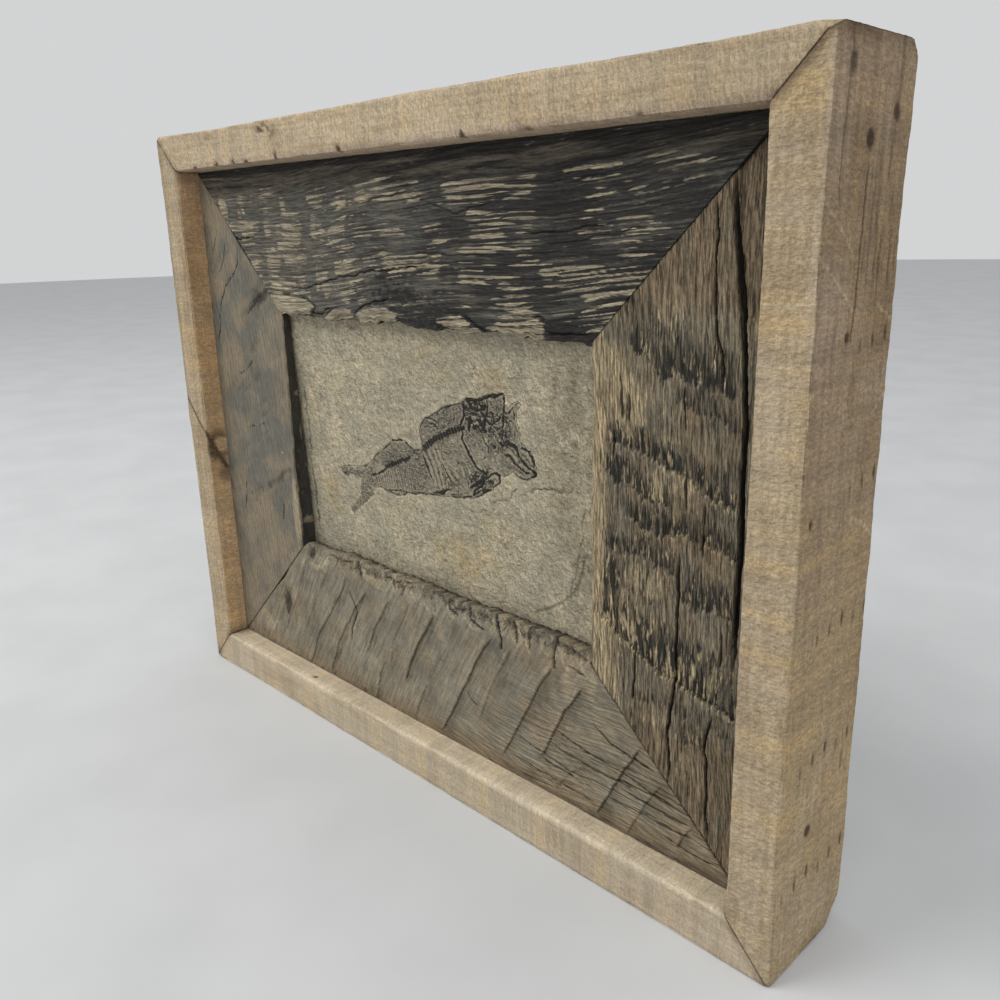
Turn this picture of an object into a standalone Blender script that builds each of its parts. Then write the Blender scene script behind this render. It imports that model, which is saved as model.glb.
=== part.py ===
"""Fossil fish slab in a small free-standing wooden frame.

Metres, +Z up, +X to the right, +Y towards the back. The origin is under the middle of the frame,
on the surface that it stands on.
"""

import math

import bmesh
import bpy
from mathutils import Vector, noise

MM = 0.001

# Outer frame
FRAME_WIDTH = 0.280
FRAME_HEIGHT = 0.222
FRAME_DEPTH = 0.038
SIDE_THICKNESS = 0.0139
TOP_THICKNESS = 0.0139
BOTTOM_THICKNESS = 0.0148
WORN_ARRIS = 0.0011
SAW_WANDER = 0.0007
JOINT_GAP = 0.0003

# Weathered boards, set back inside the frame
BARN_SETBACK = 0.0086
OPENING_HALF_WIDTH = 0.0738
OPENING_TOP = 0.1565
OPENING_BOTTOM = 0.0655
TORN_EDGE_HEIGHT = 0.0030
BARN_THICKNESS_TOP = 0.0035
BARN_THICKNESS_BOTTOM = 0.0070
BARN_LUMPS = 0.00035
MITRE_FADE = 10.0  # the ragged edges run out over this share of the length at each mitre

# Stone slab: its face leans back a little towards the bottom
STONE_HALF_WIDTH = 0.081
STONE_TOP = 0.164
STONE_BOTTOM = 0.058
STONE_DEPTH_AT_TOP = 0.0041
STONE_DEPTH_AT_BOTTOM = 0.0075
STONE_BACK = 0.0067
STONE_LUMPS = 0.00035

# Fish, let into the stone
FISH_RISE = 0.00035
FISH_SINK = 0.0009
FISH_HIGHEST = 0.0030
FISH_GAP = 0.3  # millimetres round the outline

# Panel behind the slab
BACKING_FRONT = 0.0070
BACKING_THICKNESS = 0.0040
BACKING_CLEARANCE = 0.0004

FRONT = -FRAME_DEPTH / 2
BACK = FRAME_DEPTH / 2
BARN_FRONT = FRONT + BARN_SETBACK
INNER_X = FRAME_WIDTH / 2 - SIDE_THICKNESS
INNER_TOP = FRAME_HEIGHT - TOP_THICKNESS
INNER_BOTTOM = BOTTOM_THICKNESS
OUTSIDE = 0.0002  # how far a cutter stands out in front of the face that it cuts


def clear_scene():
    for old in list(bpy.data.objects):
        bpy.data.objects.remove(old, do_unlink=True)


def material(name, color, roughness):
    made = bpy.data.materials.new(name)
    made.use_nodes = True
    shader = made.node_tree.nodes["Principled BSDF"]
    shader.inputs["Base Color"].default_value = (*color, 1.0)
    shader.inputs["Roughness"].default_value = roughness
    shader.inputs["Metallic"].default_value = 0.0
    return made


def object_from(name, mesh_maker, finish=None):
    """Make an object from a bmesh, as flat triangles turned outwards."""
    bmesh.ops.recalc_face_normals(mesh_maker, faces=mesh_maker.faces)
    bmesh.ops.triangulate(mesh_maker, faces=mesh_maker.faces)
    mesh = bpy.data.meshes.new(name)
    mesh_maker.to_mesh(mesh)
    mesh_maker.free()
    made = bpy.data.objects.new(name, mesh)
    bpy.context.scene.collection.objects.link(made)
    if finish:
        made.data.materials.append(finish)
    return made


def helper(made):
    made.hide_render = True
    made.display_type = "WIRE"
    return made


def combine(target, tool, operation):
    change = target.modifiers.new(tool.name, "BOOLEAN")
    change.operation = operation
    change.solver = "EXACT"
    change.object = helper(tool)


def mix(start, end, share):
    return start + (end - start) * share


def loft(sections, closed_ends=True):
    """Join sections, each a closed ring of points with the same count, into one closed skin."""
    maker = bmesh.new()
    rings = [[maker.verts.new(point) for point in section] for section in sections]
    count = len(rings[0])
    for ring, following in zip(rings, rings[1:]):
        for i in range(count):
            j = (i + 1) % count
            maker.faces.new((ring[i], ring[j], following[j], following[i]))
    if closed_ends:
        maker.faces.new(rings[0])
        maker.faces.new(reversed(rings[-1]))
    return maker


# --- Outer frame -------------------------------------------------------------------------------

def wander(position, seed, amount):
    """Gentle unevenness of a sawn face, always inwards."""
    value = noise.noise(Vector((position * 18.0, seed * 7.3, 0.5)))
    return amount * (0.5 + 0.5 * value)


def frame_profile(width, depth_in, edge_in):
    """Ring of (across, depth) points round a board; across runs from its outer to its inner edge."""
    a = WORN_ARRIS
    front = FRONT + depth_in
    return [
        (edge_in + a, front), (width - a, front), (width, front + a),
        (width, BACK - a), (width - a, BACK), (a, BACK), (0.0, BACK - a),
        (edge_in, front + a),
    ]


def frame_board(name, finish, length, width, end_slopes, to_world, seed, flat_edge=False):
    """A mitred board of the outer frame, as rings from end to end that turn into the mitres."""
    stations = 17
    sections = []
    for i in range(stations):
        share = i / (stations - 1)
        along = mix(-length / 2, length / 2, share)
        inside = math.sin(math.pi * share) ** 0.5  # the corners keep the frame's full size
        dent = inside * wander(along, seed, SAW_WANDER)
        edge = 0.0 if flat_edge else inside * wander(along, seed + 3.1, SAW_WANDER)
        section = []
        for across, depth in frame_profile(width, dent, edge):
            start = -length / 2 + JOINT_GAP / 2 + across * end_slopes[0]
            end = length / 2 - JOINT_GAP / 2 - across * end_slopes[1]
            section.append(to_world(mix(start, end, share), across, depth))
        sections.append(section)
    return object_from(name, loft(sections), finish)


def outer_frame(finish):
    mid = FRAME_HEIGHT / 2
    half = FRAME_WIDTH / 2
    frame_board(
        "frame_top", finish, FRAME_WIDTH, TOP_THICKNESS, (SIDE_THICKNESS / TOP_THICKNESS,) * 2,
        lambda u, v, y: (u, y, FRAME_HEIGHT - v), 1.0)
    frame_board(
        "frame_bottom", finish, FRAME_WIDTH, BOTTOM_THICKNESS, (SIDE_THICKNESS / BOTTOM_THICKNESS,) * 2,
        lambda u, v, y: (u, y, v), 2.0, flat_edge=True)
    slopes = (BOTTOM_THICKNESS / SIDE_THICKNESS, TOP_THICKNESS / SIDE_THICKNESS)
    frame_board(
        "frame_left", finish, FRAME_HEIGHT, SIDE_THICKNESS, slopes,
        lambda u, v, y: (-half + v, y, mid + u), 3.0)
    frame_board(
        "frame_right", finish, FRAME_HEIGHT, SIDE_THICKNESS, slopes,
        lambda u, v, y: (half - v, y, mid + u), 4.0)


# --- Weathered boards --------------------------------------------------------------------------

def stone_face(z):
    """Y of the stone's face, before its lumps."""
    share = (OPENING_TOP - z) / (OPENING_TOP - OPENING_BOTTOM)
    return BARN_FRONT + mix(STONE_DEPTH_AT_TOP, STONE_DEPTH_AT_BOTTOM, share)


def barn_back(z, name):
    """Y of a board's back: the side boards thicken downwards to lie on the leaning stone."""
    if name == "barnwood_top":
        return BARN_FRONT + BARN_THICKNESS_TOP
    if name == "barnwood_bottom":
        return BARN_FRONT + BARN_THICKNESS_BOTTOM
    share = (OPENING_TOP - z) / (OPENING_TOP - OPENING_BOTTOM)
    return BARN_FRONT + mix(BARN_THICKNESS_TOP, BARN_THICKNESS_BOTTOM, share)


def barn_board(name, finish, outer, inner, to_world, edge_shape, edge_drop, rows):
    """A trapezoid board. outer and inner are (start, end, across) of its long and short edges."""
    columns = 24
    inset = JOINT_GAP / 2
    front = []
    back = []
    for i in range(columns + 1):
        share = i / columns
        from_mitre = min(1.0, MITRE_FADE * min(share, 1.0 - share))
        front_row = []
        back_row = []
        for j in rows:
            start = mix(outer[0], inner[0], j) + inset * 1.5
            end = mix(outer[1], inner[1], j) - inset * 1.5
            along = mix(start, end, share)
            across = mix(outer[2], inner[2], j)
            across += edge_shape(along) * from_mitre * j ** 4
            x, z = to_world(along, across)
            lump = noise.noise(Vector((x * 60.0, z * 60.0, 4.0))) * BARN_LUMPS
            y = BARN_FRONT + BARN_LUMPS + lump + edge_drop(along) * max(0.0, (j - 0.8) / 0.2) ** 2
            front_row.append((x, y, z))
            back_row.append((x, barn_back(z, name), z))
        front.append(front_row)
        back.append(back_row)
    sections = [f + b[::-1] for f, b in zip(front, back)]
    return object_from(name, loft(sections), finish)


def crack(board, number, path, width, depth):
    """A V-shaped split down a board: path is (x, z) in millimetres."""
    sections = []
    for i, (x, z) in enumerate(path):
        end = i in (0, len(path) - 1)
        half = MM * (0.05 if end else width / 2)
        deep = MM * (0.15 if end else depth)
        before = Vector(path[max(i - 1, 0)])
        after = Vector(path[min(i + 1, len(path) - 1)])
        across = (after - before).orthogonal().normalized() * half
        spread = (OUTSIDE + deep) / deep
        left = (x * MM + across.x * spread, BARN_FRONT - OUTSIDE, z * MM + across.y * spread)
        right = (x * MM - across.x * spread, BARN_FRONT - OUTSIDE, z * MM - across.y * spread)
        sections.append([left, right, (x * MM, BARN_FRONT + BARN_LUMPS + deep, z * MM)])
    combine(board, object_from(f"{board.name}_crack_{number}", loft(sections)), "DIFFERENCE")


def saw_step(board, number, path, reach, depth, side=1.0):
    """A saw mark: a low wall along path, from which the wood rises back over the reach beside it."""
    sections = []
    for i, (x, z) in enumerate(path):
        before = Vector(path[max(i - 1, 0)])
        after = Vector(path[min(i + 1, len(path) - 1)])
        across = (after - before).orthogonal().normalized() * side
        wide = reach * MM * (1.0 + OUTSIDE / (depth * MM))
        sections.append([
            (x * MM, BARN_FRONT - OUTSIDE, z * MM),
            (x * MM, BARN_FRONT + BARN_LUMPS + depth * MM, z * MM),
            (x * MM + across.x * wide, BARN_FRONT - OUTSIDE, z * MM + across.y * wide),
        ])
    combine(board, object_from(f"{board.name}_step_{number}", loft(sections)), "DIFFERENCE")


def straight_edge(along):
    return 0.0


def sag_edge(along):
    """The top board's lower edge dips in shallow scallops."""
    return -0.0006 * math.sin(along * 118.0) - 0.0004 * math.sin(along * 260.0 + 1.0)


def torn_edge(along):
    """The bottom board's upper edge, torn into lobes between the saw marks."""
    lobes = abs(math.sin(along * 250.0 + 0.6)) ** 0.7
    return TORN_EDGE_HEIGHT * (0.35 + 0.5 * lobes + 0.3 * noise.noise(Vector((along * 90.0, 3.0, 0.0))))


def rolled_drop(along):
    return 0.0032 + 0.0010 * math.sin(along * 250.0)


def worn_drop(along):
    return 0.0008


# Rows across a board, as shares of its width; the first stays clear of the outer frame
FIRST_ROW = JOINT_GAP / (INNER_X - OPENING_HALF_WIDTH)
EVEN_ROWS = (FIRST_ROW, 0.3, 0.6, 0.85, 1.0)
TORN_ROWS = (FIRST_ROW, 0.3, 0.6, 0.8, 0.87, 0.94, 1.0)

# Saw marks of the bottom board, from the torn edge down
BOTTOM_STEPS = (
    ((-45, 60), (-58, 42), (-68, 29), (-75, 14)),
    ((-33, 58), (-45, 40), (-54, 30), (-61, 14)),
    ((-19, 60), (-30, 43), (-33, 30), (-36, 14)),
    ((5, 60), (-5, 45), (-12, 31), (-16, 14)),
    ((33, 60), (20, 40), (12, 25), (6, 14)),
    ((59, 59), (48, 40), (42, 29), (35, 14)),
    ((71, 56), (58, 34), (53, 25), (47, 14)),
    ((92, 46), (83, 28), (78, 19), (75, 14)),
)

# Splits of the right board, from the top down
RIGHT_CRACKS = (
    (((114, 195), (117, 177), (118.6, 165), (119.3, 150), (120, 138), (120.1, 110), (120.3, 82)), 1.5, 2.2),
    (((109.7, 190), (110, 178), (110.6, 166), (112.5, 157), (114.5, 150)), 0.9, 1.4),
    (((102.7, 119), (103, 93), (103, 70), (101, 53), (101.6, 38)), 1.1, 1.8),
    (((113.5, 60), (113.4, 50), (114.4, 36), (115, 27)), 0.8, 1.2),
    (((89.8, 71), (89.6, 65), (89, 59)), 0.8, 1.0),
)
RIGHT_STEPS = (
    ((75, 82), (90, 73.5), (104, 69), (121, 64.3)),
    ((91, 130), (100, 127), (112, 121), (121, 118)),
    ((96, 107.5), (104, 104.5), (121, 106)),
)


def weathered_boards(dark, brown):
    top = barn_board(
        "barnwood_top", dark, (-INNER_X, INNER_X, INNER_TOP),
        (-OPENING_HALF_WIDTH, OPENING_HALF_WIDTH, OPENING_TOP),
        lambda u, v: (u, v), sag_edge, worn_drop, EVEN_ROWS)
    bottom = barn_board(
        "barnwood_bottom", brown, (-INNER_X, INNER_X, INNER_BOTTOM),
        (-OPENING_HALF_WIDTH, OPENING_HALF_WIDTH, OPENING_BOTTOM),
        lambda u, v: (u, v), torn_edge, rolled_drop, TORN_ROWS)
    left = barn_board(
        "barnwood_left", brown, (INNER_BOTTOM, INNER_TOP, -INNER_X),
        (OPENING_BOTTOM, OPENING_TOP, -OPENING_HALF_WIDTH),
        lambda u, v: (v, u), straight_edge, worn_drop, EVEN_ROWS)
    right = barn_board(
        "barnwood_right", brown, (INNER_BOTTOM, INNER_TOP, INNER_X),
        (OPENING_BOTTOM, OPENING_TOP, OPENING_HALF_WIDTH),
        lambda u, v: (v, u), straight_edge, worn_drop, EVEN_ROWS)
    for number, path in enumerate(BOTTOM_STEPS):
        saw_step(bottom, number, path, 9.0, 0.55)
    crack(bottom, 0, ((-45, 56), (-40, 47), (-44.5, 40), (-45, 34)), 0.9, 1.2)
    for number, (path, width, depth) in enumerate(RIGHT_CRACKS):
        crack(right, number, path, width, depth)
    for number, path in enumerate(RIGHT_STEPS):
        saw_step(right, number, path, 12.0, 0.6, -1.0)
    crack(top, 0, ((-58, 166), (-40, 169.5), (-20, 172.5), (0, 174), (22, 176)), 0.6, 0.7)
    crack(left, 0, ((-122, 150), (-118, 163), (-110, 171), (-100, 180)), 0.5, 0.5)
    knot = knot_cutter()
    combine(bottom, knot, "DIFFERENCE")


def knot_cutter():
    """A shallow dish where a knot has shrunk and fallen back."""
    maker = bmesh.new()
    bmesh.ops.create_icosphere(maker, subdivisions=2, radius=1.0)
    for point in maker.verts:
        point.co = Vector((
            -0.0895 + point.co.x * 0.0048,
            BARN_FRONT + BARN_LUMPS + point.co.y * 0.0012,
            0.0395 + point.co.z * 0.0066,
        ))
    return object_from("knot_hollow", maker)


# --- Stone -------------------------------------------------------------------------------------

def stone_slab(finish):
    """The split slab: a lumpy leaning face, broken edges and a flat back."""
    columns = 18
    rows = 12
    sections = []
    for i in range(columns + 1):
        front = []
        x = mix(-STONE_HALF_WIDTH, STONE_HALF_WIDTH, i / columns)
        for j in range(rows + 1):
            z = mix(STONE_BOTTOM, STONE_TOP, j / rows)
            edge = 0.0006 * noise.noise(Vector((x * 50.0, z * 50.0, 9.0)))
            px = x + (edge if i in (0, columns) else 0.0)
            pz = z + (edge if j in (0, rows) else 0.0)
            lump = STONE_LUMPS * noise.noise(Vector((x * 45.0, z * 45.0, 1.0)))
            front.append((px, stone_face(z) + abs(lump), pz))
        sections.append(front + [(front[-1][0], STONE_BACK, front[-1][2]), (front[0][0], STONE_BACK, front[0][2])])
    slab = object_from("stone_slab", loft(sections), finish)
    flake(slab, ((60, 77), (64, 92), (68, 112), (76, 118)), 14.0, 0.0009, 1)
    flake(slab, ((54, 62), (55, 75), (61, 79), (70, 76)), 12.0, 0.0006, 2)
    pocket = prism("fish_pocket", outset(FISH_OUTLINE, FISH_GAP), FISH_RISE + OUTSIDE, FISH_SINK + JOINT_GAP)
    combine(slab, pocket, "DIFFERENCE")
    return slab


def flake(slab, path, reach, depth, number):
    """A ledge where a thin layer has split away on the right of path."""
    sections = []
    for i, (x, z) in enumerate(path):
        before = Vector(path[max(i - 1, 0)])
        after = Vector(path[min(i + 1, len(path) - 1)])
        across = -(after - before).orthogonal().normalized()
        wide = reach * MM * (1.0 + OUTSIDE / depth)
        face = stone_face(z * MM)
        sections.append([
            (x * MM, face - OUTSIDE, z * MM),
            (x * MM, face + depth, z * MM),
            (x * MM + across.x * wide, face - OUTSIDE, z * MM + across.y * wide),
        ])
    combine(slab, object_from(f"flake_{number}", loft(sections)), "DIFFERENCE")


# --- Fish --------------------------------------------------------------------------------------

# Outline on the stone's face, (x, z) in millimetres, from the tail's upper tip along the back
FISH_OUTLINE = (
    (-52.4, 100.4), (-49, 101.6), (-44, 102.4), (-38, 103.4), (-33, 106.4), (-29, 109.4), (-24, 112.8),
    (-20, 116), (-14, 117), (-10.5, 115.2), (-6.5, 114.6), (-3.4, 115.4), (-3.4, 118), (-4.6, 121.6),
    (-1.6, 125.9), (3, 127.9), (9, 131), (14.5, 132.8), (18.2, 134.9), (25.5, 135.7), (29, 137.2),
    (35.8, 138.3), (36.6, 135.4), (40.6, 135.6), (40.8, 131), (42.3, 124.8), (46, 122.2), (47.6, 119.5),
    (48.5, 116.6), (47, 114.2), (43, 113), (39, 114.8), (36, 113.4), (33.4, 112.4), (32.6, 109.6),
    (29.4, 107), (24, 104.2), (18, 102.2), (9, 101), (0, 99.9), (-9, 98.6), (-14, 98), (-17, 96.4),
    (-24, 96.6), (-31.4, 97), (-34.4, 92.9), (-39, 89.8), (-44, 86.2), (-47.8, 83.8), (-48.4, 85.6),
    (-44, 88.9), (-41, 92), (-40, 97.2), (-43, 99), (-50.6, 98.4),
)

FRONT_SPINE = ((-2.6, 116), (0, 117.8), (3.4, 119.8), (7, 121.4), (11, 123.2), (14, 124.4), (16.6, 125.3))
REAR_SPINE = ((-33.5, 101.2), (-29.5, 102.5), (-25, 104.6), (-20, 107.3), (-15.5, 109.4), (-10.8, 111.2))

# Bones that stand up from the body: path, width and height in millimetres
BONES = (
    (((17.3, 125), (17.2, 121.6), (19.8, 117), (23, 113.6), (27, 112.3)), 1.3, 0.7),
    (((18, 133.6), (18.2, 129), (16.3, 126)), 0.9, 0.5),
    (((18.6, 134.3), (25.5, 135), (29, 136.5), (35.4, 137.5)), 1.2, 0.9),
    (((20.6, 132.6), (24, 132.2), (28, 133.2)), 2.4, 0.9),
    (((28.4, 133.4), (27.4, 129.6), (26.6, 126)), 2.0, 1.0),
    (((20.8, 129), (20.9, 125)), 2.0, 0.7),
    (((29.6, 128.4), (32.4, 129), (34.4, 131.4), (35.5, 136.8)), 1.0, 0.7),
    (((35.9, 132.6), (38, 132.8), (40, 135)), 0.8, 0.5),
    (((39.9, 131.4), (40, 125.4)), 0.7, 0.4),
    (((30.8, 121.6), (34.4, 122.2), (36.6, 123.6), (39.4, 123.6), (41.2, 121.4)), 1.3, 0.8),
    (((41.6, 120.4), (45, 118), (47.8, 116.4)), 1.2, 0.8),
    (((36.2, 119.4), (39, 118.9), (42, 117.2), (46, 115.4)), 1.2, 0.7),
    (((28.2, 111.8), (30.4, 113), (32.8, 112.6), (32.4, 110.2), (30.2, 108.7)), 0.9, 0.5),
    (((19.2, 105.6), (23, 107.6), (26.4, 110.2)), 1.0, 0.6),
    (((20.4, 104.4), (25, 106.9), (28.2, 109.4)), 0.9, 0.5),
    (((25.6, 106.1), (29.2, 107.6)), 0.9, 0.5),
    (((3, 101.6), (6.4, 102.2), (9, 103.4)), 1.3, 0.6),
    (((-22, 97.6), (-16.4, 98.8)), 0.9, 0.4),
    (((-51, 99.8), (-45, 100.9), (-36, 101.4)), 1.4, 0.4),
    (((-47.2, 85.1), (-42, 89.6), (-38.6, 95)), 2.2, 0.5),
    (((-5, 114), (-2.6, 110.4), (0.4, 105.6)), 1.2, 0.4),
)

RIB_COUNT = 9
RIB_WIDTH = 0.7
RIB_HEIGHT = 0.28
VERTEBRA_PITCH = 1.9


def on_stone(x, z, rise):
    """A point above the stone's face, from millimetres along it and a rise in metres."""
    return (x * MM, stone_face(z * MM) - rise, z * MM)


def outset(outline, distance):
    """Move a closed clockwise outline outwards."""
    moved = []
    for i, point in enumerate(outline):
        before = Vector(outline[i - 1])
        here = Vector(point)
        after = Vector(outline[(i + 1) % len(outline)])
        first = (here - before).normalized()
        second = (after - here).normalized()
        bisector = Vector((-first.y - second.y, first.x + second.x))
        bisector.normalize()
        lean = max(0.6, bisector.dot(Vector((-first.y, first.x))))
        moved.append(tuple(here + bisector * (distance / lean)))
    return moved


def prism(name, outline, rise, sink, finish=None):
    """An outline on the stone's face, drawn out from below that face to above it."""
    sections = [
        [on_stone(x, z, -sink) for x, z in outline],
        [on_stone(x, z, rise) for x, z in outline],
    ]
    return object_from(name, loft(sections), finish)


def ridge(name, path, width, height):
    """A bone as a tapered bar with a rounded back, sunk in the body below it."""
    sections = []
    for i, (x, z) in enumerate(path):
        end = i in (0, len(path) - 1)
        before = Vector(path[max(i - 1, 0)])
        after = Vector(path[min(i + 1, len(path) - 1)])
        across = (after - before).orthogonal().normalized() * (width * (0.28 if end else 0.5))
        top = FISH_RISE + height * MM * (0.45 if end else 1.0)
        base = -FISH_SINK * 0.5
        shape = ((1.0, base), (1.0, FISH_RISE * 0.6), (0.45, top), (-0.45, top), (-1.0, FISH_RISE * 0.6), (-1.0, base))
        sections.append([on_stone(x + across.x * k, z + across.y * k, rise) for k, rise in shape])
    return object_from(name, loft(sections))


def along_path(path, distance):
    """The point and direction at a distance along a path."""
    for start, end in zip(path, path[1:]):
        step = Vector(end) - Vector(start)
        if distance <= step.length:
            return Vector(start) + step.normalized() * distance, step.normalized()
        distance -= step.length
    return Vector(path[-1]), step.normalized()


def path_length(path):
    return sum((Vector(b) - Vector(a)).length for a, b in zip(path, path[1:]))


def fossil_fish(finish):
    fish = prism("fossil_fish", FISH_OUTLINE, FISH_RISE * 0.3, FISH_SINK, finish)
    crown = prism("fish_crown", outset(FISH_OUTLINE, -0.45), FISH_RISE, FISH_SINK * 0.5)
    combine(fish, crown, "UNION")
    for number, (path, width, height) in enumerate(BONES):
        combine(fish, ridge(f"bone_{number}", path, width, height), "UNION")
    for number, (path, width) in enumerate(((FRONT_SPINE, 1.9), (REAR_SPINE, 1.5))):
        combine(fish, ridge(f"spine_{number}", path, width * 0.75, 0.35), "UNION")
        joints = int(path_length(path) / VERTEBRA_PITCH)
        for i in range(1, joints):
            middle, direction = along_path(path, i * VERTEBRA_PITCH)
            across = direction.orthogonal() * width * 0.55
            stub = (tuple(middle - across), tuple(middle), tuple(middle + across))
            combine(fish, ridge(f"vertebra_{number}_{i}", stub, 0.9, 0.6), "UNION")
    for i in range(RIB_COUNT):
        share = i / (RIB_COUNT - 1)
        top = (mix(-24, 15, share), mix(103.5, 121.5, share))
        foot = (top[0] + 3.6, mix(99.5, 107, share))
        middle = (mix(top[0], foot[0], 0.4), mix(top[1], foot[1], 0.5))
        combine(fish, ridge(f"rib_{i}", (top, middle, foot), RIB_WIDTH, RIB_HEIGHT), "UNION")
    limit = prism("fish_limit", outset(FISH_OUTLINE, 0.05), FISH_HIGHEST, 2 * FISH_SINK)
    combine(fish, limit, "INTERSECT")
    return fish


# --- Backing -----------------------------------------------------------------------------------

def backing_board(finish):
    half = INNER_X - BACKING_CLEARANCE
    low = INNER_BOTTOM + BACKING_CLEARANCE
    high = INNER_TOP - BACKING_CLEARANCE
    ring = ((-half, low), (half, low), (half, high), (-half, high))
    sections = [
        [(x, BACKING_FRONT, z) for x, z in ring],
        [(x, BACKING_FRONT + BACKING_THICKNESS, z) for x, z in ring],
    ]
    board = object_from("backing_board", loft(sections), finish)
    ease = board.modifiers.new("eased_edges", "BEVEL")
    ease.width = 0.0005
    ease.segments = 1
    return board


def main():
    clear_scene()
    pale_wood = material("pale_wood", (0.62, 0.50, 0.35), 0.75)
    dark_wood = material("dark_barnwood", (0.12, 0.11, 0.10), 0.8)
    brown_wood = material("brown_barnwood", (0.26, 0.21, 0.16), 0.8)
    limestone = material("limestone", (0.52, 0.48, 0.38), 0.85)
    bone = material("fossil_bone", (0.14, 0.12, 0.10), 0.6)
    panel = material("backing_panel", (0.45, 0.33, 0.21), 0.7)
    outer_frame(pale_wood)
    weathered_boards(dark_wood, brown_wood)
    stone_slab(limestone)
    fossil_fish(bone)
    backing_board(panel)


main()
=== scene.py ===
import math

import bmesh
import bpy
import numpy as np
from mathutils import Euler, Matrix, Vector


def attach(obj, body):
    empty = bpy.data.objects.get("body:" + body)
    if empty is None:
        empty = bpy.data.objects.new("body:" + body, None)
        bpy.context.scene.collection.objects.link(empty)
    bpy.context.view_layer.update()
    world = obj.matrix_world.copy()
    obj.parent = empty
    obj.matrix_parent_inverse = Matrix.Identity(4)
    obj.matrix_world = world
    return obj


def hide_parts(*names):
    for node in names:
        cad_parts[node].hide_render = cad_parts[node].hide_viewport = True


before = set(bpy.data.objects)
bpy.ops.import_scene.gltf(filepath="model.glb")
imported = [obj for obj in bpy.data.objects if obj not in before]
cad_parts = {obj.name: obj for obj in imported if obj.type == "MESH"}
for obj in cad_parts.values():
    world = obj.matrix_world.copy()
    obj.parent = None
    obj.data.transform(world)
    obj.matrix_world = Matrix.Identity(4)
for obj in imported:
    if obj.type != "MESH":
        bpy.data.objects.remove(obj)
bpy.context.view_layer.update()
mm = 0.001

# where things are in the frame, in millimetres
places = {
    "halfWidth": 140,
    "height": 222,
    "front": -19,
    "back": 19,
    "barnFront": -10.4,
    "innerX": 126.1,
    "innerTop": 208.1,
    "innerBottom": 14.8,
    "openingX": 73.8,
    "openingTop": 156.5,
    "openingBottom": 65.5,
    "jointGap": 0.2,
    "boardSlack": 0.02,
}


# Noise and lines, worked out on whole arrays of points.

def lattice(across, up, seed):
    mixed = ((across * 73856093) ^ (up * 19349663) ^ (seed * 83492791)) & 0xFFFFFFFF
    mixed = ((mixed ^ (mixed >> 15)) * 2246822519) & 0xFFFFFFFF
    mixed = ((mixed ^ (mixed >> 13)) * 3266489917) & 0xFFFFFFFF
    return (mixed ^ (mixed >> 16)) / 4294967295.0


def clouds(u, v, sizeU, sizeV, seed, octaves=4, gain=0.5):
    # soft noise, about -1 to 1, as long as sizeU and as wide as sizeV
    u = u / sizeU
    v = v / sizeV
    total = 0.0
    weight = 1.0
    whole = 0.0
    for octave in range(octaves):
        lowU = np.floor(u).astype(np.int64)
        lowV = np.floor(v).astype(np.int64)
        restU = u - lowU
        restV = v - lowV
        restU = restU * restU * (3 - 2 * restU)
        restV = restV * restV * (3 - 2 * restV)
        salt = seed + 31 * octave
        near = lattice(lowU, lowV, salt) * (1 - restU) + lattice(lowU + 1, lowV, salt) * restU
        far = lattice(lowU, lowV + 1, salt) * (1 - restU) + lattice(lowU + 1, lowV + 1, salt) * restU
        total = total + weight * (near * (1 - restV) + far * restV)
        whole += weight
        weight *= gain
        u, v = 1.62 * u - 1.18 * v + 13.7, 1.18 * u + 1.62 * v + 7.1
    return (total / whole * 2 - 1) * 1.6


def most(*layers):
    return np.maximum.reduce(layers)


def ease(value, low, high):
    share = np.clip((value - low) / (high - low), 0, 1)
    return share * share * (3 - 2 * share)


def patches(x, z, spots, tilt=0.0):
    # flat-topped soft ellipses: middle, half sizes, strength
    found = np.zeros_like(x)
    for middleX, middleZ, sizeX, sizeZ, strength in spots:
        away = ((x - middleX) / sizeX) ** 2 + ((z - middleZ - tilt * (x - middleX)) / sizeZ) ** 2
        found = np.maximum(found, strength * np.exp(-0.7 * away * away))
    return found


def nearLine(x, z, line, reach):
    # distance from a line and share of its length, for the points within reach
    away = np.full(x.shape, float(reach))
    share = np.zeros(x.shape)
    points = np.array(line, float)
    low = points.min(0) - reach
    high = points.max(0) + reach
    picked = np.nonzero((x > low[0]) & (x < high[0]) & (z > low[1]) & (z < high[1]))[0]
    if not len(picked):
        return away, share
    px = x[picked]
    pz = z[picked]
    best = np.full(px.shape, float(reach))
    bestShare = np.zeros(px.shape)
    lengths = np.hypot(*np.diff(points, axis=0).T)
    done = 0.0
    for start, end, length in zip(points, points[1:], lengths):
        step = (end - start) / max(length, 1e-9)
        run = np.clip((px - start[0]) * step[0] + (pz - start[1]) * step[1], 0, length)
        distance = np.hypot(px - start[0] - run * step[0], pz - start[1] - run * step[1])
        closer = distance < best
        best[closer] = distance[closer]
        bestShare[closer] = (done + run[closer]) / lengths.sum()
        done += length
    away[picked] = best
    share[picked] = bestShare
    return away, share


def insideOutline(x, z, outline):
    inside = np.zeros(x.shape, bool)
    for (ax, az), (bx, bz) in zip(outline, outline[1:] + outline[:1]):
        if az == bz:
            continue
        crosses = (z > min(az, bz)) & (z <= max(az, bz))
        inside ^= crosses & (x < ax + (z - az) * (bx - ax) / (bz - az))
    return inside


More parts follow.
